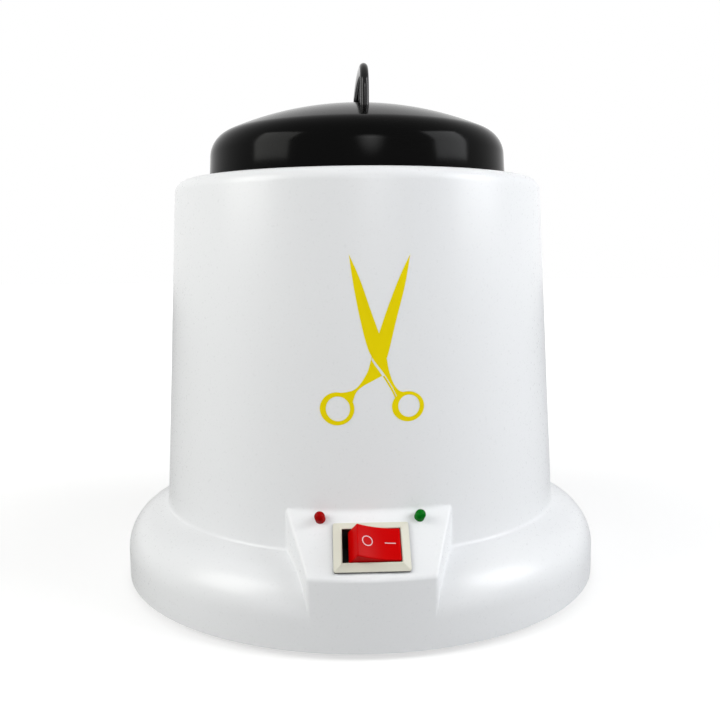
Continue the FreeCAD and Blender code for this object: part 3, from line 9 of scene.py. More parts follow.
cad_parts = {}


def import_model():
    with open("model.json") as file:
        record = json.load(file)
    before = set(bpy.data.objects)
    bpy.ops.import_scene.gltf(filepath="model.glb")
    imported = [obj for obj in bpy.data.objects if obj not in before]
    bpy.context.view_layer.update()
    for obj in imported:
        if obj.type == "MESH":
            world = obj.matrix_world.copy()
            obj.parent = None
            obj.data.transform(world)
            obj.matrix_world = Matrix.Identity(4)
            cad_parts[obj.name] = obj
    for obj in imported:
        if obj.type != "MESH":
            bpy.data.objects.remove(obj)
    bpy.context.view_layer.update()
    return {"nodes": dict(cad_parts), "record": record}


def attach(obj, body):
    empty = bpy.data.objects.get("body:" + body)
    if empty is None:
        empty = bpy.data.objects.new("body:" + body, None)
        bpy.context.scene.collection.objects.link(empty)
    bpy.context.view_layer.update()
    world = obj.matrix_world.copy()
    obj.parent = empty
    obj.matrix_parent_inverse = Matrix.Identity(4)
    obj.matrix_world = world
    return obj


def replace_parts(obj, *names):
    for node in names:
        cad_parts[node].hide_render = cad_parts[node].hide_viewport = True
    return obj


# Nail tool sterilizer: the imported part, dressed with smooth mouldings and procedural materials.

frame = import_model()

MM = 0.001
LIFT = 2.0                  # housing's lower edge above the floor; the heights in mm below count from it


# Materials

def shade(name, colour, roughness, metallic=0.0, bump=0.0, bump_scale=600.0, vary=0.03,
          blotch=0.02, blotch_scale=25.0, sheen=0.0, stretch=(1.0, 1.0, 1.0), level=0.5):
    """A finish whose colour, gloss and surface all vary a little, from noise.

    vary is how far roughness moves, blotch how far the colour does, level the shader's specular level.
    """
    mat = bpy.data.materials.new(name)
    mat.use_nodes = True
    tree = mat.node_tree
    nodes, links = tree.nodes, tree.links
    shader = nodes["Principled BSDF"]
    shader.inputs["Metallic"].default_value = metallic
    shader.inputs["Specular IOR Level"].default_value = level
    shader.inputs["Sheen Weight"].default_value = sheen
    place = nodes.new("ShaderNodeTexCoord")
    mapping = nodes.new("ShaderNodeMapping")
    mapping.inputs["Scale"].default_value = stretch
    links.new(place.outputs["Object"], mapping.inputs["Vector"])
    broad = nodes.new("ShaderNodeTexNoise")
    broad.inputs["Scale"].default_value = blotch_scale
    broad.inputs["Detail"].default_value = 4.0
    links.new(mapping.outputs["Vector"], broad.inputs["Vector"])
    tint = nodes.new("ShaderNodeValToRGB")
    tint.color_ramp.elements[0].position = 0.3
    tint.color_ramp.elements[1].position = 0.7
    tint.color_ramp.elements[0].color = [c * (1 - blotch) for c in colour] + [1]
    tint.color_ramp.elements[1].color = [min(1, c * (1 + blotch)) for c in colour] + [1]
    links.new(broad.outputs["Fac"], tint.inputs["Fac"])
    links.new(tint.outputs["Color"], shader.inputs["Base Color"])
    gloss = nodes.new("ShaderNodeMapRange")
    gloss.inputs["To Min"].default_value = max(0.01, roughness - vary)
    gloss.inputs["To Max"].default_value = roughness + vary
    links.new(broad.outputs["Fac"], gloss.inputs["Value"])
    links.new(gloss.outputs["Result"], shader.inputs["Roughness"])
    if bump:
        fine = nodes.new("ShaderNodeTexNoise")
        fine.inputs["Scale"].default_value = bump_scale
        fine.inputs["Detail"].default_value = 3.0
        links.new(mapping.outputs["Vector"], fine.inputs["Vector"])
        height = nodes.new("ShaderNodeBump")
        height.inputs["Strength"].default_value = bump
        height.inputs["Distance"].default_value = 0.0002
        links.new(fine.outputs["Fac"], height.inputs["Height"])
        links.new(height.outputs["Normal"], shader.inputs["Normal"])
    return mat


FINISH = {
    "gloss_plastic_white": shade("white_moulding", (0.80, 0.81, 0.825), 0.28, bump=0.02, bump_scale=500,
                                 vary=0.02, blotch=0.005, blotch_scale=1400, level=0.33),
    "gloss_plastic_black": shade("black_moulding", (0.0015, 0.0015, 0.0015), 0.13, bump=0.01, bump_scale=500,
                                 vary=0.02, blotch=0.1, level=0.045),
    "handle_black": shade("black_enamel", (0.002, 0.002, 0.002), 0.07, bump=0.01, bump_scale=900,
                          vary=0.02, blotch=0.1, level=0.22),
    "plate_plastic": shade("grained_moulding", (0.66, 0.67, 0.68), 0.50, bump=0.35, bump_scale=2200, vary=0.05),
    "ivory_plastic": shade("ivory_moulding", (0.66, 0.645, 0.55), 0.36, bump=0.02, bump_scale=900, vary=0.03,
                           level=0.25),
    "red_plastic": shade("red_moulding", (0.53, 0.0003, 0.0006), 0.36, bump=0.015, bump_scale=1500,
                         vary=0.03, blotch=0.03, blotch_scale=120, level=0.05),
    "black_plastic": shade("black_grained", (0.022, 0.022, 0.023), 0.42, bump=0.2, bump_scale=2400, vary=0.05),
    "red_lens": shade("red_lens", (0.31, 0.0002, 0.0004), 0.06, vary=0.02, blotch=0.10, blotch_scale=700,
                      level=0.04),
    "green_lens": shade("green_lens", (0.0002, 0.140, 0.007), 0.06, vary=0.02, blotch=0.10, blotch_scale=700,
                        level=0.04),
    "rubber_grey": shade("rubber", (0.06, 0.06, 0.06), 0.75, bump=0.3, bump_scale=3000, vary=0.05),
    "drawn_steel": shade("drawn_steel", (0.58, 0.57, 0.55), 0.30, metallic=1.0, bump=0.1, bump_scale=300,
                         stretch=(1, 1, 12), vary=0.06),
    "clad_steel": shade("clad_steel", (0.46, 0.42, 0.34), 0.38, metallic=1.0, bump=0.1, bump_scale=300, vary=0.06,
                        blotch=0.15),
    "tinned_steel": shade("tinned_steel", (0.60, 0.60, 0.59), 0.36, metallic=1.0, bump=0.08, bump_scale=400,
                          vary=0.08, blotch=0.06),
    "zinc_steel": shade("zinc_steel", (0.55, 0.56, 0.58), 0.30, metallic=1.0, bump=0.08, bump_scale=1500,
                        vary=0.06),
    "brass_blades": shade("brass", (0.72, 0.50, 0.20), 0.28, metallic=1.0, bump=0.08, bump_scale=900, vary=0.06),
    "fibre_board": shade("fibre_board", (0.42, 0.36, 0.27), 0.72, bump=0.4, bump_scale=900, vary=0.06,
                         blotch=0.15, blotch_scale=200),
    "ceramic_wool": shade("ceramic_wool", (0.80, 0.78, 0.73), 0.95, bump=0.9, bump_scale=700, vary=0.03,
                          blotch=0.05, blotch_scale=150, sheen=0.3),
    "board_laminate": shade("board_laminate", (0.34, 0.24, 0.09), 0.45, bump=0.1, bump_scale=900, vary=0.05),
    "resistor_body": shade("resistor_body", (0.55, 0.43, 0.28), 0.40, bump=0.1, bump_scale=900, vary=0.05),
}
MARK_WHITE = shade("mark_paint", (0.62, 0.38, 0.40), 0.35, bump=0.05, bump_scale=3000, vary=0.03)
PRINT_YELLOW = shade("print_ink", (0.82, 0.66, 0.0006), 0.45, level=0.04, bump=0.05, bump_scale=2500, vary=0.03,
                     blotch=0.03, blotch_scale=90)

record = frame["record"]
slot_of = {part["node"]: part["material_slot"] for part in record["subparts"]}
for node, thing in frame["nodes"].items():
    thing.data.materials.clear()
    thing.data.materials.append(FINISH[slot_of[node]])


# Mesh helpers

def piece(name, points, faces, material, body="base", normals=None, sharp=35):
    """A new mesh piece in the row's frame, from points in millimetres."""
    mesh = bpy.data.meshes.new(name)
    mesh.from_pydata([[c * MM for c in p] for p in points], [], faces)
    mesh.update()
    mesh.validate()
    thing = bpy.data.objects.new(name, mesh)
    bpy.context.collection.objects.link(thing)
    mesh.materials.append(material)
    mesh.shade_smooth()
    if normals is None:
        mesh.set_sharp_from_angle(angle=math.radians(sharp))
    else:
        mesh.normals_split_custom_set_from_vertices(normals)
    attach(thing, body)
    return thing


def arc(centre, radius, start, end, steps):
    """Points of an arc, angles in degrees from the first axis."""
    turns = [math.radians(start + (end - start) * i / steps) for i in range(steps + 1)]
    return [(centre[0] + radius * math.cos(a), centre[1] + radius * math.sin(a)) for a in turns]


def lathe(profile, segments, z=LIFT):
    """Points and faces of a profile (radius, height) turned about Z. A radius of 0 closes it."""
    points, faces, rings = [], [], []
    for radius, height in profile:
        if radius < 1e-6:
            rings.append([len(points)])
            points.append((0.0, 0.0, height + z))
        else:
            rings.append(list(range(len(points), len(points) + segments)))
            for i in range(segments):
                a = 2 * math.pi * i / segments
                points.append((radius * math.cos(a), radius * math.sin(a), height + z))
    for low, high in zip(rings, rings[1:]):
        if len(low) == len(high) == 1:
            continue
        for i in range(segments):
            j = (i + 1) % segments
            if len(low) == 1:
                faces.append((low[0], high[j], high[i]))
            elif len(high) == 1:
                faces.append((low[i], low[j], high[0]))
            else:
                faces.append((low[i], low[j], high[j], high[i]))
    return points, faces


def moved(points, matrix):
    """The points, in millimetres, under a matrix that is in millimetres too."""
    return [tuple(matrix @ Vector(p)) for p in points]


# Shape of the housing, as a distance that is negative inside the plastic

BASE_R, BASE_ROUND = 81.0, 13.0
BRIM_SLOPE = math.radians(23.4)
CREASE_R, CREASE_Z, CREASE_ROUND = 67.4, 23.1, 1.2
RIM_R, RIM_Z, RIM_ROUND = 61.5, 131.1, 4.0
LEAN = math.atan((CREASE_R - RIM_R) / (RIM_Z - CREASE_Z))
PANEL_SLOPE = math.radians(45.6)
PANEL_Z, PANEL_ROUND = 35.2, 2.0
PANEL_R = CREASE_R - (PANEL_Z - CREASE_Z) * math.tan(LEAN)
BACK_HALF, BACK_REACH, FRONT_HALF = 23.8, 62.5, 17.0
SIDE_ROUND, SIDE_FILLET = 0.7, 0.4
TAPER = (BACK_HALF - FRONT_HALF) / (BASE_R - BACK_REACH)
WALL = 2.4
WELL_R, WELL_DEPTH, LEDGE_R = 51.4, 8.0, 43.0
SWITCH_REACH, SEAT_SINK = 10.8, 0.9
SEAT_R = PANEL_R + SWITCH_REACH * math.cos(PANEL_SLOPE) - SEAT_SINK * math.sin(PANEL_SLOPE)
SEAT_Z = PANEL_Z - SWITCH_REACH * math.sin(PANEL_SLOPE) - SEAT_SINK * math.cos(PANEL_SLOPE)
SEAT_HALF, SEAT_UP, SEAT_DOWN, SEAT_CUT = 10.75, 7.15, 7.6, 4.4
WINDOW_HALF_X, WINDOW_HALF_Y, WINDOW_DEPTH = 8.9, 5.7, 4.5
GLAND_Z, GLAND_PAD_R, GLAND_Y, GLAND_EDGE, GLAND_HOLE = 36.0, 9.5, 68.4, 0.6, 6.3
CONSOLE_BACK, PAD_BACK = 50.0, 55.0
TOP_FADE, FLANK_FADE = 5.0, 3.0
RAY_IN, RAY_OUT, HALVINGS = 45.0, 88.0, 34
CONSOLE_TURN, GLAND_TURN, FLANK_COLUMNS = math.radians(24), math.radians(9), 72
EDGE_LAP, WINDOW_ROOM = 0.02, 0.95

N_WALL = (1.0, 0.0)
N_TOP = (0.0, 1.0)
N_BRIM = (math.sin(BRIM_SLOPE), math.cos(BRIM_SLOPE))
N_CONE = (math.cos(LEAN), math.sin(LEAN))
N_PANEL = (math.sin(PANEL_SLOPE), math.cos(PANEL_SLOPE))


def plane(r, z, normal, point):
    """Distance out from the straight line through a point of the section, square to its normal."""
    return (r - point[0]) * normal[0] + (z - point[1]) * normal[1]


def where_both(first, first_point, first_off, second, second_point, second_off):
    """Point at the given distances from two straight lines of the section."""
    a = np.array([first, second])
    b = np.array([first_off + np.dot(first, first_point), second_off + np.dot(second, second_point)])
    return np.linalg.solve(a, b)


def between(qr, qz, first, second):
    """True where q is a sum of positive shares of the two directions."""
    det = first[0] * second[1] - first[1] * second[0]
    a = (qr * second[1] - qz * second[0]) / det
    b = (first[0] * qz - first[1] * qr) / det
    return (a > 0) & (b > 0)


def rounded(r, z, first, first_point, second, second_point, radius):
    """Two straight sides that meet in a convex rounded corner."""
    centre = where_both(first, first_point, -radius, second, second_point, -radius)
    flat = np.maximum(plane(r, z, first, first_point), plane(r, z, second, second_point))
    qr, qz = r - centre[0], z - centre[1]
    return np.where(between(qr, qz, first, second), np.hypot(qr, qz) - radius, flat)


def local_panel(points):
    """How far up the panel, and how far out of it, points are from the middle of the seat."""
    up = (points[..., 1] + SEAT_R) * math.cos(PANEL_SLOPE) + (points[..., 2] - SEAT_Z) * math.sin(PANEL_SLOPE)
    out = -(points[..., 1] + SEAT_R) * math.sin(PANEL_SLOPE) + (points[..., 2] - SEAT_Z) * math.cos(PANEL_SLOPE)
    return up, out


def moulding(p, seat=True):
    """Signed distance to the moulding: brim, cone, console, pad of the cord entry, seat of the switch."""
    x, y, z = p[..., 0], p[..., 1], p[..., 2]
    r = np.hypot(x, y)
    brim = rounded(r, z, N_WALL, (BASE_R, 0), N_BRIM, (CREASE_R, CREASE_Z), BASE_ROUND)
    cone = rounded(r, z, N_CONE, (CREASE_R, CREASE_Z), N_TOP, (0, RIM_Z), RIM_ROUND)
    side = plane(r, z, N_CONE, (CREASE_R, CREASE_Z))
    base = np.minimum(brim, cone)
    centre = where_both(N_BRIM, (CREASE_R, CREASE_Z), CREASE_ROUND, N_CONE, (CREASE_R, CREASE_Z), CREASE_ROUND)
    qr, qz = r - centre[0], z - centre[1]
    notch = between(qr, qz, (-N_BRIM[0], -N_BRIM[1]), (-N_CONE[0], -N_CONE[1]))
    base = np.where(notch, np.minimum(base, CREASE_ROUND - np.hypot(qr, qz)), base)
    panel = plane(r, z, N_PANEL, (PANEL_R, PANEL_Z))
    top = rounded(r, z, N_WALL, (BASE_R, 0), N_PANEL, (PANEL_R, PANEL_Z), PANEL_ROUND)
    flank = (np.abs(x) - (BACK_HALF - (-y - BACK_REACH) * TAPER)) / math.hypot(1, TAPER)
    console = (np.minimum(-SIDE_ROUND, np.maximum(top, flank))
               + np.hypot(np.maximum(top + SIDE_ROUND, 0), np.maximum(flank + SIDE_ROUND, 0)))
    console = np.maximum(console, y + CONSOLE_BACK)
    shape = np.minimum(base, console)
    # Fillet between flank and brim or cone, which dies out towards the console's top
    fade = np.clip(-top / TOP_FADE, 0, 1) * SIDE_FILLET
    web = fade - np.hypot(fade - flank, fade - base)
    web = np.maximum(np.maximum(web, flank - fade), np.maximum(base - fade, y + CONSOLE_BACK))
    shape = np.where(top < 0, np.minimum(shape, web), shape)
    # Fillet between panel and cone, which dies out towards the flanks
    fade = np.clip(-flank / FLANK_FADE, 0, 1) * SIDE_FILLET
    web = fade - np.hypot(fade - side, fade - panel)
    web = np.maximum(np.maximum(web, side - fade), np.maximum(panel - fade, y + CONSOLE_BACK))
    shape = np.where(flank < 0, np.minimum(shape, web), shape)
    disc = np.hypot(x, z - GLAND_Z) - GLAND_PAD_R
    face = y - GLAND_Y
    pad = (np.minimum(-GLAND_EDGE, np.maximum(disc, face))
           + np.hypot(np.maximum(disc + GLAND_EDGE, 0), np.maximum(face + GLAND_EDGE, 0)))
    shape = np.minimum(shape, np.maximum(pad, PAD_BACK - y))
    if seat:
        up, out = local_panel(p)
        edge = np.maximum(np.abs(x) - SEAT_HALF, np.maximum(up - SEAT_UP, -SEAT_DOWN - up))
        cut = np.maximum(edge, np.maximum(-out, out - SEAT_CUT))
        shape = np.maximum(shape, -cut)
    return shape


def slope(p, step=0.02):
    """Outward normals of that shape."""
    grad = np.empty(p.shape)
    for axis in range(3):
        shift = np.zeros(3)
        shift[axis] = step
        grad[..., axis] = moulding(p + shift) - moulding(p - shift)
    return grad / np.linalg.norm(grad, axis=-1, keepdims=True)


def cast(rows, turns, level, seat):
    """Where rays from RAY_IN to RAY_OUT, at the given heights and turns, leave the shape."""
    low = np.array([row[0] for row in rows])[:, None]
    high = np.array([row[1] for row in rows])[:, None]
    dx, dy = np.sin(turns)[None, :], -np.cos(turns)[None, :]
    near = np.zeros((len(rows), len(turns)))
    far = np.ones_like(near)

    def at(share):
        r = RAY_IN + (RAY_OUT - RAY_IN) * share
        return np.stack([dx * r, dy * r, low + (high - low) * share], -1)

    for _ in range(HALVINGS):
        middle = (near + far) / 2
        inside = moulding(at(middle), seat) < level
        near = np.where(inside, middle, near)
        far = np.where(inside, far, middle)
    return at((near + far) / 2)


def steps_between(stops):
    """Heights of each ray's inner and outer end. A stop gives both, and the steps to the next stop."""
    rows = []
    for (a, b, count), (c, e, _) in zip(stops, stops[1:]):
        rows += [(a + (c - a) * i / count, b + (e - b) * i / count) for i in range(count)]
    return rows + [stops[-1][:2]]


def column_turns(front, back):
    """Turns about the axis: close together across the console and the cord entry, wider between."""
    half, tail = CONSOLE_TURN, GLAND_TURN
    stops = ((-half, half, front), (half, math.pi - tail, FLANK_COLUMNS),
             (math.pi - tail, math.pi + tail, back), (math.pi + tail, 2 * math.pi - half, FLANK_COLUMNS))
    return np.concatenate([np.linspace(a, b, count, endpoint=False) for a, b, count in stops])


def sheet(grid):
    """Quads of a grid that closes round in its second direction."""
    rows, columns = grid.shape[:2]
    index = np.arange(rows * columns).reshape(rows, columns)
    right = np.roll(index, -1, axis=1)
    return np.stack([index[:-1], right[:-1], right[1:], index[1:]], -1).reshape(-1, 4)


def without_openings(points, quads, room=0.0):
    """Leave out the quads in the holes for the switch, wider by room, and for the cord entry."""
    up, out = local_panel(points)
    hole = ((np.abs(points[:, 0]) < WINDOW_HALF_X + room) & (np.abs(up) < WINDOW_HALF_Y + room)
            & (np.abs(out) < WINDOW_DEPTH))
    hole |= (points[:, 1] > 0) & (np.hypot(points[:, 0], points[:, 2] - GLAND_Z) < GLAND_HOLE)
    return quads[~hole[quads].all(axis=1)]


def housing_skin():
    """The outside, with normals from the distance, so that it shades as one smooth moulding."""
    stops = [(0, 0, 6), (2, 8.675, 16), (4, 22, 46), (14, 31, 34), (27, 37, 12), (36, 42, 16), (46, 50.5, 6),
             (60, 60, 16), (116, 122, 16), (120, 152, 10), (122, 182.6, 0)]
    grid = cast(steps_between(stops), column_turns(240, 46), 0.0, True)
    flat = grid.reshape(-1, 3)
    quads = without_openings(flat, sheet(grid))
    normals = slope(flat)
    lifted = flat + np.array([0, 0, LIFT])
    return piece("housing_skin", lifted.tolist(), quads.tolist(), FINISH["gloss_plastic_white"],
                 normals=normals.tolist())


def housing_inner():
    """Recess for the lid, ledge, and the inside of the wall down to the lower edge."""
    stops = [(0, 0, 2), (2, 8.675, 4), (4, 22, 14), (14, 31, 10), (27, 37, 4), (36, 42, 4), (60, 60, 6),
             (112, 118, 0)]
    turns = column_turns(96, 16)
    grid = cast(steps_between(stops), turns, -WALL, False)
    ledge = RIM_Z - WELL_DEPTH
    ring = [(BASE_R - EDGE_LAP, 0.0), (BASE_R - WALL, 0.0)]
    wall_top = CREASE_R - (RIM_Z - WALL - CREASE_Z) * math.tan(LEAN) - WALL / math.cos(LEAN)
    crown = [(wall_top, RIM_Z - WALL), (WELL_R + WALL, RIM_Z - WALL), (WELL_R + WALL, ledge - WALL),
             (LEDGE_R, ledge - WALL), (LEDGE_R, ledge), (WELL_R, ledge), (WELL_R, RIM_Z)]

    def loop(r, z):
        return np.stack([r * np.sin(turns), -r * np.cos(turns), np.full(len(turns), z)], -1)

    whole = np.concatenate([np.stack([loop(*c) for c in ring]), grid, np.stack([loop(*c) for c in crown])])
    flat = whole.reshape(-1, 3)
    quads = without_openings(flat, sheet(whole)[:, ::-1], WINDOW_ROOM)
    piece("housing_inside", (flat + np.array([0, 0, LIFT])).tolist(), quads.tolist(),
          FINISH["gloss_plastic_white"], sharp=30)


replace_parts(housing_skin(), "housing")
housing_inner()


# Lid

RING_THICK, FLANGE_THICK = 2.0, 1.2
POT_TOP = RIM_Z - WELL_DEPTH + RING_THICK + FLANGE_THICK
LID_R, LID_DRAFT, LID_SIDE, LID_SHOULDER, DOME_R, LID_WALL = 50.5, 3.2, 8.4, 9.0, 110.0, 2.0


def lid_profile():
    """Outer and inner line of the lid's section, and the height of the dome's centre."""
    lean = math.radians(LID_DRAFT)
    side_top = RIM_Z + LID_SIDE
    side_r = LID_R - (side_top - POT_TOP) * math.tan(lean)
    cr = side_r - LID_SHOULDER * math.cos(lean)
    cz = side_top - LID_SHOULDER * math.sin(lean)
    dome_z = cz - math.sqrt((DOME_R - LID_SHOULDER) ** 2 - cr ** 2)
    meet = math.degrees(math.atan2(cz - dome_z, cr))
    outer = [(LID_R - 0.4, POT_TOP), (LID_R - 0.1, POT_TOP + 0.1), (LID_R - 0.02, POT_TOP + 0.4)]
    outer += arc((cr, cz), LID_SHOULDER, LID_DRAFT, meet, 18)
    outer += arc((0, dome_z), DOME_R, meet, 90, 26)[1:-1] + [(0, dome_z + DOME_R)]
    inner = arc((cr, cz), LID_SHOULDER - LID_WALL, LID_DRAFT, meet, 8)
    inner += arc((0, dome_z), DOME_R - LID_WALL, meet, 90, 10)[1:-1] + [(0, dome_z + DOME_R - LID_WALL)]
    return outer, inner[::-1] + [(LID_R - LID_WALL, POT_TOP)], dome_z


def lid():
    """The black shell."""
    outer, inner, _ = lid_profile()
    points, faces = lathe(outer + inner + [outer[0]], 192)
    thing = piece("lid_moulding", points, faces, FINISH["gloss_plastic_black"])
    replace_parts(thing, "lid")


lid()


def tube(path, radius, sides=20):
    """A round wire along a path in the YZ plane, with flat ends."""
    points, faces, rings = [], [], []
    stations = [Vector(p) for p in path]
    for i, at in enumerate(stations):
        ahead = (stations[min(i + 1, len(stations) - 1)] - stations[max(i - 1, 0)]).normalized()
        across = Vector((1, 0, 0))
        other = ahead.cross(across)
        rings.append(len(points))
        for k in range(sides):
            a = 2 * math.pi * k / sides
            points.append(tuple(at + (across * math.cos(a) + other * math.sin(a)) * radius))
    for low, high in zip(rings, rings[1:]):
        for k in range(sides):
            j = (k + 1) % sides
            faces.append((low + k, low + j, high + j, high + k))
    faces.append(tuple(range(rings[0], rings[0] + sides))[::-1])
    faces.append(tuple(range(rings[-1], rings[-1] + sides)))
    return points, faces


HANDLE_WIRE, HANDLE_REACH, HANDLE_ASIDE, HANDLE_LEG = 1.35, 30.0, 1.3, 4.8
HANDLE_BEND, HANDLE_RISE, HANDLE_THREAD = 7.5, 9.0, 6.0


def lid_handle():
    """Two threaded legs, a bend on each, and a shallow arc between them."""
    dome_z = lid_profile()[2]
    leg_top = dome_z + math.sqrt(DOME_R ** 2 - HANDLE_REACH ** 2) + HANDLE_LEG
    low = dome_z + math.sqrt((DOME_R - LID_WALL) ** 2 - HANDLE_REACH ** 2) - LID_WALL - HANDLE_THREAD
    over = HANDLE_RISE - HANDLE_BEND
    reach = HANDLE_REACH - HANDLE_BEND
    down = (reach ** 2 - over ** 2) / (2 * over)
    crown = down + HANDLE_RISE
    turn = math.degrees(math.atan2(down, reach))
    half = [(HANDLE_REACH, low), (HANDLE_REACH, (low + leg_top) / 2)]
    half += arc((reach, leg_top), HANDLE_BEND, 0, turn, 16)
    half += arc((0, leg_top - down), crown, turn, 90, 14)[1:]
    line = half + [(-y, z) for y, z in half[-2::-1]]
    points, faces = tube([(HANDLE_ASIDE, y, z + LIFT) for y, z in line], HANDLE_WIRE)
    thing = piece("lid_wire_handle", points, faces, FINISH["handle_black"])
    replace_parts(thing, "lid_handle")


lid_handle()


# Rocker switch, drawn with Z out of the panel and Y up its slope

PANEL = Matrix.Translation((0, -SEAT_R, SEAT_Z + LIFT)) @ Matrix.Rotation(PANEL_SLOPE, 4, "X")


def rounded_rectangle(half_x, half_y, radius, z, steps=5):
    """Points round a rectangle with rounded corners, at height z."""
    points = []
    for sx, sy, start in ((1, 1, 0), (-1, 1, 90), (-1, -1, 180), (1, -1, 270)):
        centre = (sx * (half_x - radius), sy * (half_y - radius))
        points += [(px, py, z) for px, py in arc(centre, radius, start, start + 90, steps)]
    return points


def loft(rings):
    """Quads between rings of equal count, closed at both ends."""
    points, faces = [], []
    count = len(rings[0])
    for ring in rings:
        points += ring
    for level in range(len(rings) - 1):
        for k in range(count):
            j = (k + 1) % count
            a, b = level * count, (level + 1) * count
            faces.append((a + k, a + j, b + j, b + k))
    faces.append(tuple(range((len(rings) - 1) * count, len(rings) * count)))
    faces.append(tuple(range(count))[::-1])
    return points, faces


def switch_bezel():
    """The frame is ivory. The body under it, and the inside of its window, are black. The black band just under
    the frame's rim is painted shadow on the frame's lower side.
    """
    # The black band from 0.02 to 0.84 mm under the rim is painted shadow: it darkens the frame's lower edge,
    # where shade falls beneath it.
    body = [rounded_rectangle(9.5, 6.35, 0.4, -13.0), rounded_rectangle(9.5, 6.35, 0.4, 0.02),
            rounded_rectangle(10.42, 7.12, 0.5, 0.02), rounded_rectangle(10.42, 7.12, 0.5, 0.84)]
    rim = [rounded_rectangle(10.5, 7.2, 0.6, 0.86), rounded_rectangle(10.5, 7.2, 0.6, 1.12),
           rounded_rectangle(10.45, 7.15, 0.55, 1.2), rounded_rectangle(10.3, 7.0, 0.45, 1.28),
           rounded_rectangle(8.6, 5.5, 0.2, 2.12), rounded_rectangle(8.45, 5.35, 0.15, 2.2),
           rounded_rectangle(8.2, 5.1, 0.15, 2.2), rounded_rectangle(8.08, 4.98, 0.12, 2.14),
           rounded_rectangle(8.05, 4.95, 0.12, 2.0)]
    well = [rounded_rectangle(8.05, 4.95, 0.12, 1.6), rounded_rectangle(8.05, 4.95, 0.12, -11.0)]
    points, faces = loft(body + rim + well)
    thing = piece("switch_moulding", moved(points, PANEL), faces, FINISH["ivory_plastic"],
                  sharp=24)
    thing.data.materials.append(FINISH["black_plastic"])
    count = len(body[0])
    first, last = (len(body) - 1) * count, (len(body) + len(rim) - 1) * count
    for number, polygon in enumerate(thing.data.polygons):
        polygon.material_index = int(number < first or number >= last)
    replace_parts(thing, "switch_body")


switch_bezel()

TILT = math.radians(17)
FRAME_FACE, PIVOT_SINK = 2.2, 4.2
PIVOT_Z = FRAME_FACE - PIVOT_SINK
ROCKER_HALF, ROCKER_PEAK, ROCKER_SAG, ROCKER_WIDE = 6.25, 6.7, 1.0, 4.7
HOLLOW = (ROCKER_HALF ** 2 + ROCKER_SAG ** 2) / (2 * ROCKER_SAG)


def tipped(x, z):
    """A point of the rocker's section, drawn level about its pivot, as it stands at rest."""
    return (x * math.cos(TILT) + z * math.sin(TILT), PIVOT_Z - x * math.sin(TILT) + z * math.cos(TILT))


def rocker_top(x):
    """Height of the hollow top above the pivot, before it is tipped."""
    return ROCKER_PEAK - ROCKER_SAG + HOLLOW - math.sqrt(HOLLOW ** 2 - x * x)


def rocker():
    """The cap, with rounded edges."""
    outline = [(-2.5, -3.8), (2.5, -3.8), (6.9, 0.6)]
    steps = 28
    outline += [(ROCKER_HALF - 2 * ROCKER_HALF * i / steps, rocker_top(ROCKER_HALF - 2 * ROCKER_HALF * i / steps))
                for i in range(steps + 1)]
    outline += [(-6.9, 0.6)]
    mesh = bmesh.new()
    near, far = [], []
    for x, z in outline:
        tx, tz = tipped(x, z)
        near.append(mesh.verts.new((tx, -ROCKER_WIDE, tz)))
        far.append(mesh.verts.new((tx, ROCKER_WIDE, tz)))
    mesh.faces.new(near)
    mesh.faces.new(far[::-1])
    count = len(outline)
    for k in range(count):
        j = (k + 1) % count
        mesh.faces.new((near[k], far[k], far[j], near[j]))
    bmesh.ops.recalc_face_normals(mesh, faces=mesh.faces)
    mesh.edges.ensure_lookup_table()
    hard = [e for e in mesh.edges if e.calc_face_angle(0) > math.radians(25)]
    bmesh.ops.bevel(mesh, geom=hard, offset=0.42, segments=4, profile=0.5, affect="EDGES",
                    clamp_overlap=True)
    mesh.verts.index_update()
    points = [tuple(v.co) for v in mesh.verts]
    faces = [tuple(v.index for v in f.verts) for f in mesh.faces]
    mesh.free()
    thing = piece("rocker_cap", moved(points, PANEL), faces, FINISH["red_plastic"], body="rocker",
                  sharp=40)
    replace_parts(thing, "rocker")


rocker()


def on_rocker(x, y, proud=0.03):
    """A point on the rocker's top, a little proud of it, as it stands at rest."""
    tx, tz = tipped(x, rocker_top(x) + proud)
    return tuple(PANEL @ Vector((tx, y, tz)))


def rocker_marks():
    """The off ring and the on bar, printed on the cap."""
    points, faces = [], []
    steps = 40
    for i in range(steps):
        a = 2 * math.pi * i / steps
        for half_x, half_y in ((1.60, 1.48), (1.33, 1.21)):
            points.append(on_rocker(-3.15 + half_x * math.cos(a), half_y * math.sin(a) + 0.15))
    for i in range(steps):
        j = (i + 1) % steps
        faces.append((2 * i, 2 * j, 2 * j + 1, 2 * i + 1))
    first = len(points)
    for i in range(9):
        x = 1.9 + 3.0 * i / 8
        points += [on_rocker(x, -0.02), on_rocker(x, 0.28)]
    for i in range(8):
        k = first + 2 * i
        faces.append((k, k + 2, k + 3, k + 1))
    piece("rocker_marks", points, faces, MARK_WHITE, body="rocker")


rocker_marks()


# Lamps

LAMP_REACH, LAMP_ASIDE = 2.6, 13.9


def lamp(name, node, side, slot):
    """A 3 mm indicator lamp, standing square on the panel."""
    reach = PANEL_R + LAMP_REACH * math.cos(PANEL_SLOPE)
    height = PANEL_Z - LAMP_REACH * math.sin(PANEL_SLOPE) + LIFT
    profile = [(0, -2.3), (1.9, -2.3), (1.9, -1.35), (1.5, -1.3)]
    profile += arc((0, 1.5), 1.5, 0, 90, 14)[:-1] + [(0, 3.0)]
    points, faces = lathe(profile, 40, 0.0)
    turn = math.asin(LAMP_ASIDE / reach) * side
    place = (Matrix.Rotation(turn, 4, "Z") @ Matrix.Translation((0, -reach, height))
             @ Matrix.Rotation(PANEL_SLOPE, 4, "X"))
    thing = piece(name, moved(points, place), faces, FINISH[slot])
    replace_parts(thing, node)


lamp("lamp_red", "led_red", -1, "red_lens")
lamp("lamp_green", "led_green", 1, "green_lens")


# Printed shears on the front of the cone: a plain pictogram, each shape laid flat on the plastic

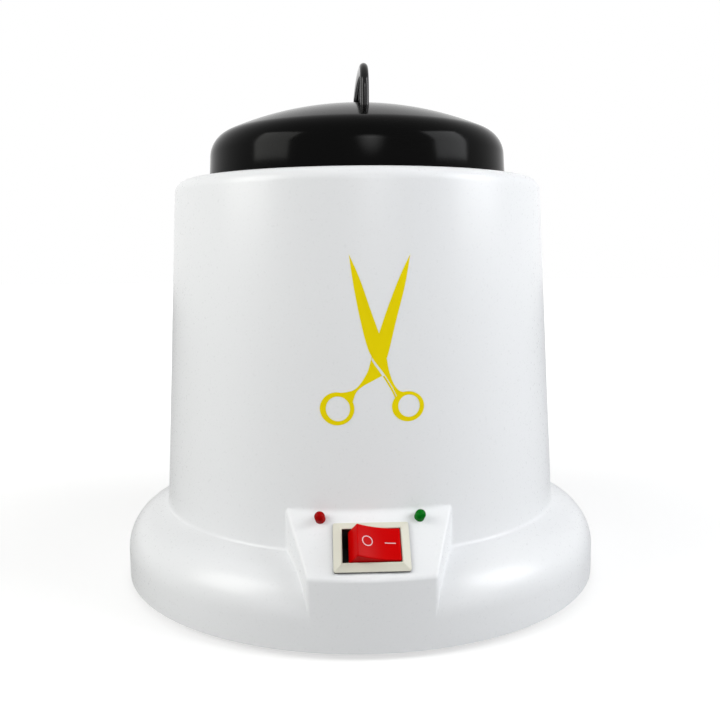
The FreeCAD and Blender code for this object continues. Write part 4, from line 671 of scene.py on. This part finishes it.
def on_cone(s, z, proud):
    """The point at arc length s from the front and height z, standing proud of the cone."""
    r = CREASE_R - (z - CREASE_Z) * math.tan(LEAN)
    a = s / r
    r += proud
    return (r * math.sin(a), -r * math.cos(a), z + LIFT)


def laid(outline, hole, proud):
    """A flat print shape, outline and hole given as points (arc, height), in strips laid on the cone."""
    mesh = bmesh.new()
    rings = []
    for ring in (outline, hole):
        if ring is not None:
            corners = [mesh.verts.new((p[0], p[1], 0.0)) for p in ring]
            rings.append([mesh.edges.new((corners[k - 1], corners[k])) for k in range(len(corners))])
    if hole is None:
        mesh.faces.new([e.verts[0] for e in rings[0]])
    else:
        bmesh.ops.triangle_fill(mesh, edges=[e for ring in rings for e in ring], use_beauty=True)
    low = min(v.co.x for v in mesh.verts)
    high = max(v.co.x for v in mesh.verts)
    for k in range(1, int(high - low) + 1):
        bmesh.ops.bisect_plane(mesh, geom=mesh.verts[:] + mesh.edges[:] + mesh.faces[:],
                               plane_co=(low + k, 0, 0), plane_no=(1, 0, 0))
    bmesh.ops.triangulate(mesh, faces=mesh.faces)
    mesh.verts.index_update()
    points = [on_cone(v.co.x, v.co.y, proud) for v in mesh.verts]
    faces = []
    for face in mesh.faces:
        corners = [v.index for v in face.verts]
        faces.append(tuple(corners if face.normal.z > 0 else corners[::-1]))
    mesh.free()
    return points, faces


def follow(knots, steps):
    """Smooth points through the knots, evenly by knot."""
    knots = np.array(knots, float)
    t = np.arange(len(knots))
    out = []
    for u in np.linspace(0, len(knots) - 1, steps):
        i = int(min(u, len(knots) - 2))
        f = u - i
        p0, p1 = knots[max(i - 1, 0)], knots[i]
        p2, p3 = knots[i + 1], knots[min(i + 2, len(knots) - 1)]
        out.append(0.5 * ((2 * p1) + (p2 - p0) * f + (2 * p0 - 5 * p1 + 4 * p2 - p3) * f * f
                          + (3 * p1 - p0 - 3 * p2 + p3) * f ** 3))
    return out


def outlined(*runs):
    """Closed outline from runs of knots, smooth inside a run and with a corner where two meet."""
    points = []
    for run in runs:
        for p in follow(run, 5 * len(run)):
            if not points or math.dist(points[-1], p) > 0.02:
                points.append(tuple(p))
    if math.dist(points[0], points[-1]) < 0.02:
        points.pop()
    return points


def oval(centre, half_s, half_z):
    """Points round an oval, as (arc, height)."""
    return [(centre[0] + half_s * math.cos(a), centre[1] + half_z * math.sin(a))
            for a in (2 * math.pi * i / 64 for i in range(64))]


def shears():
    """An open pair, one arm over the other with a bare line between them, and two finger rings."""
    under = outlined([(-5.05, 106.8), (-3.78, 97.7), (-1.95, 88.1), (-0.3, 81.5), (0.98, 78.5), (2.4, 76.4),
                      (4.3, 73.9), (6.5, 70.3), (7.95, 67.4)],
                     [(7.95, 67.4), (8.3, 66.9), (8.6, 66.5)],
                     [(8.6, 66.5), (9.7, 67.6), (11.2, 68.1)],
                     [(11.2, 68.1), (10.2, 68.45), (8.97, 68.75), (7.83, 69.7), (6.72, 71.6), (5.69, 74.8),
                      (5.15, 78.0), (4.3, 81.4), (3.05, 85.0), (0.63, 91.9), (-2.04, 99.8), (-5.05, 106.8)])
    over = outlined([(12.06, 106.7), (9.08, 100.7), (5.85, 92.8), (3.05, 85.0), (1.3, 80.8), (0.76, 77.8),
                     (-0.25, 74.3), (-2.37, 70.9), (-4.12, 69.35), (-6.3, 68.75), (-8.8, 68.5)],
                    [(-8.8, 68.5), (-5.9, 67.0), (-4.75, 64.6)],
                    [(-4.75, 64.6), (-4.25, 66.6), (-3.4, 68.7), (-1.68, 70.3), (1.11, 71.8), (3.8, 73.2)],
                    [(3.8, 73.2), (2.7, 74.9), (1.5, 76.6), (0.95, 78.1), (2.1, 80.0), (4.7, 79.7)],
                    [(4.7, 79.7), (5.3, 78.4), (7.92, 88.6), (10.49, 98.2), (12.06, 106.7)])
    near = follow([(4.0, 73.0), (5.0, 71.4), (6.4, 69.0), (7.4, 66.9)], 16)
    edge = [(p[0], p[1]) for p in near] + [(p[0] + 0.42, p[1] + 0.22) for p in near[::-1]]
    left, right = (-8.85, 64.1), (11.15, 64.45)
    parts = [laid(under, None, 0.05), laid(over, None, 0.065), laid(edge, None, 0.05),
             laid(oval(left, 4.85, 4.62), oval((left[0] + 0.25, left[1]), 3.4, 3.47), 0.08),
             laid(oval(right, 4.65, 4.22), oval((right[0] + 0.25, right[1] + 0.15), 3.12, 3.13), 0.08)]
    points, faces = [], []
    for some, corners in parts:
        base = len(points)
        points += some
        faces += [tuple(base + k for k in corner) for corner in corners]
    piece("printed_shears", points, faces, PRINT_YELLOW)


shears()


# Stage, lights and camera

def stage_floor():
    """Pale floor that keeps the shadow and grows white away from the object, to the camera alone."""
    mat = bpy.data.materials.new("studio_floor")
    mat.use_nodes = True
    nodes, links = mat.node_tree.nodes, mat.node_tree.links
    shader = nodes["Principled BSDF"]
    shader.inputs["Base Color"].default_value = (0.42, 0.42, 0.42, 1)
    shader.inputs["Roughness"].default_value = 0.9
    shader.inputs["Emission Color"].default_value = (1, 1, 1, 1)
    place = nodes.new("ShaderNodeTexCoord")
    away = nodes.new("ShaderNodeVectorMath")
    away.operation = "LENGTH"
    links.new(place.outputs["Object"], away.inputs[0])
    reach = nodes.new("ShaderNodeMapRange")
    reach.interpolation_type = "SMOOTHSTEP"
    reach.inputs["From Min"].default_value = 0.10
    reach.inputs["From Max"].default_value = 0.45
    reach.inputs["To Min"].default_value = 0.62
    reach.inputs["To Max"].default_value = 1.0
    links.new(away.outputs["Value"], reach.inputs["Value"])
    path = nodes.new("ShaderNodeLightPath")
    level = nodes.new("ShaderNodeMath")
    level.operation = "MULTIPLY"
    links.new(path.outputs["Is Camera Ray"], level.inputs[0])
    links.new(reach.outputs["Result"], level.inputs[1])
    links.new(level.outputs["Value"], shader.inputs["Emission Strength"])
    mesh = bpy.data.meshes.new("studio_floor")
    size, steps = 3.0, 12
    points = [(size * (i / steps * 2 - 1), size * (j / steps * 2 - 1), 0.0)
              for j in range(steps + 1) for i in range(steps + 1)]
    faces = [(j * (steps + 1) + i, j * (steps + 1) + i + 1, (j + 1) * (steps + 1) + i + 1,
              (j + 1) * (steps + 1) + i) for j in range(steps) for i in range(steps)]
    mesh.from_pydata(points, [], faces)
    floor = bpy.data.objects.new("studio_floor", mesh)
    bpy.context.collection.objects.link(floor)
    mesh.materials.append(mat)


def soft_lamp(name, place, aim, size, power, colour=(1, 1, 1), spread=180):
    """A rectangular lamp aimed at a point, in metres, watts and degrees."""
    data = bpy.data.lights.new(name, "AREA")
    data.shape = "RECTANGLE"
    data.size, data.size_y = size
    data.energy = power
    data.color = colour
    data.spread = math.radians(spread)
    lamp_object = bpy.data.objects.new(name, data)
    bpy.context.collection.objects.link(lamp_object)
    lamp_object.location = place
    lamp_object.rotation_euler = (Vector(aim) - Vector(place)).to_track_quat("-Z", "Y").to_euler()


def world():
    """White to camera, glossy and transmission rays, dim as a light."""
    scene_world = bpy.data.worlds.new("studio")
    bpy.context.scene.world = scene_world
    scene_world.use_nodes = True
    nodes, links = scene_world.node_tree.nodes, scene_world.node_tree.links
    background = nodes["Background"]
    background.inputs["Color"].default_value = (1, 1, 1, 1)
    path = nodes.new("ShaderNodeLightPath")
    first = nodes.new("ShaderNodeMath")
    first.operation = "MAXIMUM"
    second = nodes.new("ShaderNodeMath")
    second.operation = "MAXIMUM"
    links.new(path.outputs["Is Camera Ray"], first.inputs[0])
    links.new(path.outputs["Is Glossy Ray"], first.inputs[1])
    links.new(first.outputs["Value"], second.inputs[0])
    links.new(path.outputs["Is Transmission Ray"], second.inputs[1])
    level = nodes.new("ShaderNodeMapRange")
    level.inputs["To Min"].default_value = 0.27
    level.inputs["To Max"].default_value = 1.0
    links.new(second.outputs["Value"], level.inputs["Value"])
    links.new(level.outputs["Result"], background.inputs["Strength"])


stage_floor()
world()
soft_lamp("left_box", (-0.66, -0.27, 0.45), (0, 0, 0.09), (0.42, 0.48), 4.05, (1.0, 1.0, 0.965))
soft_lamp("right_box", (0.70, -0.24, 0.45), (0, 0, 0.09), (0.42, 0.48), 4.9, (0.97, 0.985, 1.0))
soft_lamp("front_box", (0.12, -0.85, 0.42), (0, 0, 0.13), (0.35, 0.35), 0.07, spread=22)
soft_lamp("top_box", (0.0, -0.10, 1.2), (0, 0, 0.07), (0.8, 0.6), 0.10)

# The camera as fitted to the photograph: turns in radians, places in mm from the axis and lower edge
CAMERA_TURN, CAMERA_PITCH, CAMERA_ROLL = math.radians(-2.4), math.radians(7.25), -0.0090
CAMERA_ASIDE, CAMERA_AWAY, CAMERA_HIGH = 0.41, 292.5, 106.7
FOCAL_PIXELS, PICTURE_PIXELS, SENSOR = 830.5, 720, 36.0
camera_data = bpy.data.cameras.new("camera")
camera_data.lens = FOCAL_PIXELS / PICTURE_PIXELS * SENSOR
camera_data.sensor_width = SENSOR
camera_data.clip_start, camera_data.clip_end = 0.01, 20.0
camera = bpy.data.objects.new("camera", camera_data)
bpy.context.collection.objects.link(camera)
turn = Matrix.Rotation(CAMERA_TURN, 4, "Z")
place = Matrix.Translation((CAMERA_ASIDE * MM, -CAMERA_AWAY * MM, (CAMERA_HIGH + LIFT) * MM))
camera.matrix_world = (turn @ place
                       @ Matrix.Rotation(math.pi / 2 - CAMERA_PITCH, 4, "X")
                       @ Matrix.Rotation(CAMERA_ROLL, 4, "Z"))
bpy.context.scene.camera = camera
bpy.context.scene.view_settings.view_transform = "Standard"
